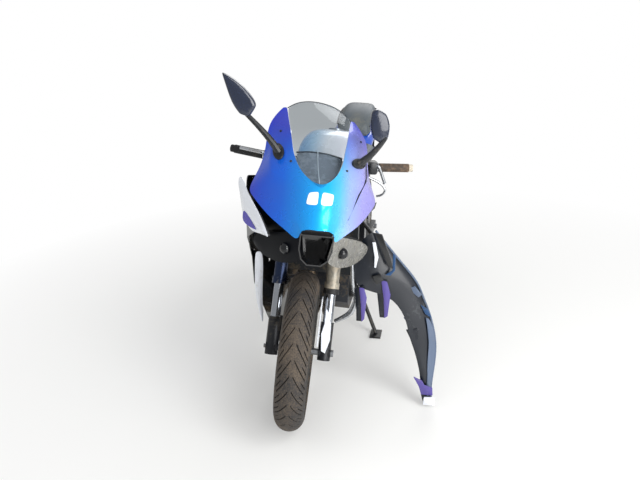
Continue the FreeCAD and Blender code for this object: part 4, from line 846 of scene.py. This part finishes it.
STEERED = Matrix(((0.9798, -0.1331, 0.1492, -0.23111), (0.1341, 0.9910, 0.0034, -0.06165),
                  (-0.1483, 0.0167, 0.9888, 0.0119), (0, 0, 0, 1)))
RAKE_SIN, RAKE_COS = 0.42262, 0.90631  # of the legs' 25 degrees
AXLE_Y, AXLE_Z = -690, 293  # of the front axle, in mm
FOOT_TOP = 113  # how far up the leg the cast foot reaches, in mm

# anodised aluminium: coloured metal with a soft shine, chalky under the dust. The navy of the right tube
# is painted shade, and the beige of the left tube is dust with painted sunlight.
shaded_navy_anodised = grimy("navy_anodised_painted_shade", "1E2A44", "7E7A72", share=0.3, rough=(0.25, 0.6), Metallic=0.7)
sunlit_dusty_anodised = grimy("dusty_anodised_painted_sunlit", "8E8A80", "C4B8A4", share=0.6, rough=(0.4, 0.8), Metallic=0.5)
# ground and hard-chromed steel: bright, sharp reflections
chrome_steel = grimy("chromed_fork_steel", "9EA2A9", "857B6A", share=0.2, rough=(0.15, 0.5), Metallic=1.0)
# painted cast aluminium: black, rough
foot_black = grimy("black_cast_foot", "191B20", "5E564A", share=0.35, rough=(0.4, 0.8), Metallic=0.3)
# nitrile rubber: flat black
seal_rubber = grimy("fork_seal_rubber", "121316", "4E4A42", share=0.3, rough=(0.6, 0.9))


def along_fork(spot):
    """How far up the leg from the axle a point is, in mm."""
    return (spot.y - AXLE_Y) * RAKE_SIN + (spot.z - AXLE_Z) * RAKE_COS


# painted light: the left tube is drawn lit and dusty, the right one shaded
wear_by("fork_outer_tubes", STEERED, shaded_navy_anodised, sunlit_dusty_anodised, lambda spot, facing: spot.x > 0)
wear_by("fork_lowers", STEERED, chrome_steel, foot_black, lambda spot, facing: along_fork(spot) < FOOT_TOP)
wear(shaded_navy_anodised, "steering_stem")
wear(dull_steel, "front_axle", "front_disc")
wear(foot_black, "front_caliper")
wear(black_coat, "handlebars")
wear(white_paint_and_highlight, "mudguard_remnant")

seal = begin("fork_seal_left", bpy.ops.mesh.primitive_cylinder_add, vertices=32, radius=0.029, depth=0.022)
seal_at = Vector((0.098, -0.690, 0.293)) + Vector((0, RAKE_SIN, RAKE_COS)) * 0.228
seal.data.transform(Matrix.Translation(seal_at) @ Matrix.Rotation(radians(-25), 4, "X"))
finish(seal, STEERED, seal_rubber, body="steering", edge=2)


# Grips and levers
# Moulded rubber grips with plastic switch housings beside them, clamped on the bars, and cast alloy levers.
# A second lever and a pipe hang bent on the left, where the bike fell.

# rubber: flat black on the right, brown with ground-in dust on the left
grip_black = grimy("black_grip_rubber", "17181A", "5A5248", share=0.3, rough=(0.7, 0.95))
grip_dusty = grimy("dusty_grip_rubber", "3E342C", "7C6652", share=0.6, rough=(0.7, 0.95))
# the road has ground the end of the left bar: pale and scratched
bar_end = grimy("scraped_bar_end", "CFC6B4", "9C9080", share=0.3, grit=5, rough=(0.4, 0.7))
# tumbled and polished aluminium: bright, a little smeared
lever_alloy = grimy("polished_lever_alloy", "B8BBC0", "8A8070", share=0.25, rough=(0.2, 0.6), Metallic=0.9)

wear_by("grips", STEERED, grip_black, grip_dusty, lambda spot, facing: spot.x > 0)
grip_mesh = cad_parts["grips"].data
grip_mesh.materials.append(bar_end)
SCRAPED_FROM = 0.339  # metres from the bike's middle
for face in grip_mesh.polygons:
    if (STEERED.inverted() @ face.center).x > SCRAPED_FROM:
        face.material_index = 2
wear(lever_alloy, "control_levers")

for side, name in ((1, "switch_housing_left"), (-1, "switch_housing_right")):
    housing = begin(name, bpy.ops.mesh.primitive_cube_add, size=1)
    housing.data.transform(Matrix.Translation((side * 0.2, -0.35, 0.926))
                           @ Matrix.Rotation(radians(side * 15), 4, "Z")
                           @ Matrix.Diagonal((0.036, 0.044, 0.05, 1)))
    finish(housing, STEERED, black_plastic, body="steering", edge=8)

hook = [(x, -360, z) for x, z in ((150, 905), (168, 900), (182, 890), (212, 881), (242, 868), (264, 846),
                                  (251, 820), (229, 816))]
finish(tube("bent_lever", hook, 4.5), STEERED, lever_alloy, body="steering")
pipe = [(x, -600, z) for x, z in ((160, 640), (166, 600), (176, 520), (194, 498), (190, 448), (172, 408),
                                  (124, 380))]
finish(tube("bent_brake_pipe", pipe, 6, radii=(0.9, 1.1, 1.3, 1.5, 1.9, 1.8, 1.2)), STEERED, lever_alloy,
       body="steering")


# Wheels
# Radial tyres, 110/70 in front and 140/70 behind, on 17 inch rims of cast and painted aluminium. A tyre is
# moulded with slanted sipes; one pitch of its tread is modelled here and turned round the wheel.

# tread rubber rolled in the dirt: flat, grey-brown, gritty
tread_rubber = grimy("dusty_tread_rubber", "2C2A2A", "5E5347", share=0.65, grit=5, rough=(0.75, 0.95))
# wall rubber bends and sheds its dust: darker than the tread
wall_rubber = grimy("tyre_wall_rubber", "1E1C1A", "6E5C48", share=0.4, grit=6, rough=(0.65, 0.9))
# the bottom of a sipe is in shadow: nearly black
sipe_rubber = grimy("sipe_shadow_rubber", "15120F", "2E2821", share=0.3, rough=(0.85, 0.95))
# enamel on cast aluminium: black under brake dust
rim_black = grimy("black_painted_rim", "15171B", "7A6C56", share=0.35, rough=(0.35, 0.8))

PITCHES = 34
SHOULDER = radians(68)  # how far round its crown the tread reaches, from the middle to the shoulder
SIPE_DEPTH = 0.005
FACES_ACROSS = 22
SLOTS = (0, 0.13, 0.5, 0.62, 1.0)  # where a long sipe, rubber, a short sipe and rubber begin in a pitch
FACES_ALONG = len(SLOTS) - 1
SWEEP, SWEEP_POWER = 1.9, 0.85  # pitches that a sipe sweeps back by at the shoulder, and how that grows


def tread_ring(name, outer, crown, middle, place, body):
    """The tread of one tyre: a grid of one pitch, its sipes sunk in, copied round the axle."""
    piece = begin(name, bpy.ops.mesh.primitive_grid_add, x_subdivisions=FACES_ACROSS,
                  y_subdivisions=FACES_ALONG, size=1)
    for point in piece.data.vertices:
        share = point.co.x * 2
        turn = SHOULDER * share
        along = SLOTS[round((point.co.y + 0.5) * FACES_ALONG)] - SWEEP * abs(share) ** SWEEP_POWER
        angle = 2 * pi * along / PITCHES
        radius = outer - crown * (1 - cos(turn))
        point.co = Vector((crown * sin(turn), -radius * sin(angle), -radius * cos(angle))) / 1000
    bpy.ops.object.mode_set(mode="EDIT")
    bpy.ops.mesh.select_mode(type="FACE")
    bpy.ops.mesh.select_all(action="SELECT")
    bpy.ops.mesh.normals_make_consistent(inside=False)
    bpy.ops.mesh.select_all(action="DESELECT")
    bpy.ops.object.mode_set(mode="OBJECT")
    piece.data.materials.append(tread_rubber)
    piece.data.materials.append(sipe_rubber)
    for number, face in enumerate(piece.data.polygons):
        slot, column = divmod(number, FACES_ACROSS)
        long_sipe = slot == 0 and (2 <= column <= 9 or 12 <= column <= 19)
        short_sipe = slot == 2 and (1 <= column <= 4 or 17 <= column <= 20)
        face.select = long_sipe or short_sipe
        if face.select:
            face.material_index = 1
    bpy.ops.object.mode_set(mode="EDIT")
    bpy.ops.mesh.extrude_region_move(TRANSFORM_OT_translate={"value": (0, 0, 0)})
    bpy.ops.object.mode_set(mode="OBJECT")
    for point in piece.data.vertices:
        if point.select:
            away = Vector((0, point.co.y, point.co.z)).length
            sunk = 1 - SIPE_DEPTH / away
            point.co = Vector((point.co.x * 0.97, point.co.y * sunk, point.co.z * sunk))
    bpy.ops.object.mode_set(mode="EDIT")
    bpy.ops.mesh.select_all(action="SELECT")
    bpy.ops.mesh.spin(steps=PITCHES, dupli=True, angle=2 * pi, center=(0, 0, 0), axis=(1, 0, 0))
    bpy.ops.mesh.select_all(action="SELECT")
    bpy.ops.mesh.remove_doubles(threshold=WELD)
    bpy.ops.mesh.select_all(action="DESELECT")
    bpy.ops.object.mode_set(mode="OBJECT")
    bpy.ops.object.shade_smooth_by_angle(angle=radians(CORNER))
    piece.data.transform(place @ Matrix.Translation(Vector(middle) / 1000))
    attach(piece, body)
    return piece


def tyre_wall(name, outer, crown, half, bead, middle, place, body):
    """Both walls of one tyre, turned from the shoulder over the widest point and a ridge to the bead."""
    shoulder = (crown * sin(SHOULDER), outer - crown * (1 - cos(SHOULDER)))
    profile = [shoulder, (half, shoulder[1] - 10), (half + 1, (shoulder[1] + 229) / 2), (half - 3, 240),
               (bead, 231), (bead - 1, 219)]
    rows = []
    for k in range(73):
        turn = 2 * pi * k / 72
        rows.append([(x, r * sin(turn), -r * cos(turn)) for x, r in profile])
    finish(sculpt(name, rows), place @ Matrix.Translation(Vector(middle) / 1000), wall_rubber, body=body,
           mirrored=True, levels=1, angle=60)


for name, outer, crown, half, bead, middle, place, body in (
        ("front", 293, 55, 54.5, 33, (0, -690, 293), STEERED, "front_wheel"),
        ("rear", 314, 76, 70, 47, (0, 690, 314), LEANED, "rear_wheel")):
    tread = tread_ring(name + "_tread", outer, crown, middle, place, body)
    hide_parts(name + "_tyre")
    tyre_wall(name + "_tyre_walls", outer, crown, half, bead, middle, place, body)
wear(rim_black, "front_rim", "rear_rim")


# Floor, light and camera
# A pale floor that goes over to white with distance, a soft white room and four large lamps. The camera
# looks down on the bike from the front and its left, a little tilted.

floor = begin("floor", bpy.ops.mesh.primitive_plane_add, size=30, location=(0, 0, 0))
# matt paint, on which the bike's shadow fades out between 0.9 and 2.6 m from the middle
floor_paint, floor_surface = start_material("pale_floor", Base_Color=linear("F0F0EE"), Roughness=0.9)
floor_place = add(floor_paint, "TexCoord").outputs["Object"]
floor_reach = add(floor_paint, "VectorMath", [(0, floor_place)], operation="LENGTH")
far = add(floor_paint, "MapRange", [("Value", floor_reach.outputs["Value"]), ("From Min", 0.9),
                                    ("From Max", 2.6), ("To Min", 0.15)])
floor_rays = add(floor_paint, "LightPath")
whiteness = add(floor_paint, "Math", [(0, far.outputs[0]), (1, floor_rays.outputs["Is Camera Ray"])],
                operation="MULTIPLY")
white = add(floor_paint, "Emission")
blend = add(floor_paint, "MixShader", [(0, whiteness.outputs[0]), (1, floor_surface.outputs[0]),
                                       (2, white.outputs[0])])
floor_paint.node_tree.links.new(blend.outputs[0], floor_paint.node_tree.nodes["Material Output"].inputs[0])
floor.data.materials.append(floor_paint)
bpy.ops.object.select_all(action="DESELECT")

world = bpy.data.worlds.new("studio")
scene.world = world
world.use_nodes = True
room = world.node_tree.nodes["Background"]
room.inputs["Color"].default_value = (1, 1, 1, 1)
room.inputs["Strength"].default_value = 0.6
shown = add(world, "Background", [("Color", (1, 1, 1, 1))])
rays = add(world, "LightPath")
seen = add(world, "Math", [(0, rays.outputs["Is Camera Ray"]), (1, rays.outputs["Is Transmission Ray"])],
           operation="MAXIMUM")
pick = add(world, "MixShader", [(0, seen.outputs[0]), (1, room.outputs[0]), (2, shown.outputs[0])])
world.node_tree.links.new(pick.outputs[0], world.node_tree.nodes["World Output"].inputs[0])

lamps = (
    # name, place and size in metres, power in watts
    ("key", (2.4, -2.2, 3.2), (1.4, 1.4), 50), ("fill", (-3.0, -2.0, 2.2), (2.4, 2.4), 20),
    ("back", (0.5, 3.2, 3.0), (2.2, 2.2), 45), ("strip", (2.1, -2.35, 1.1), (2.2, 1.6), 64),
)
aim = Vector((0, 0, 0.6))
for name, place, size, power in lamps:
    lamp = bpy.data.lights.new(name, "AREA")
    lamp.shape = "RECTANGLE"
    lamp.size, lamp.size_y = size
    lamp.energy = power
    holder = bpy.data.objects.new(name, lamp)
    scene.collection.objects.link(holder)
    holder.location = place
    holder.visible_glossy = name != "fill"
    holder.rotation_euler = (aim - Vector(place)).to_track_quat("-Z", "Y").to_euler()

HEADING, DOWN, ROLL = 12.68, 20.17, -3.09  # degrees
view = bpy.data.cameras.new("camera")
view.lens = 34.49
view.sensor_width = 36
camera = bpy.data.objects.new("camera", view)
scene.collection.objects.link(camera)
camera.matrix_world = (Matrix.Translation((0.4450, -2.6733, 1.4528))
                       @ Matrix.Rotation(radians(HEADING), 4, "Z")
                       @ Matrix.Rotation(radians(90 - DOWN), 4, "X")
                       @ Matrix.Rotation(radians(ROLL), 4, "Z"))
scene.camera = camera
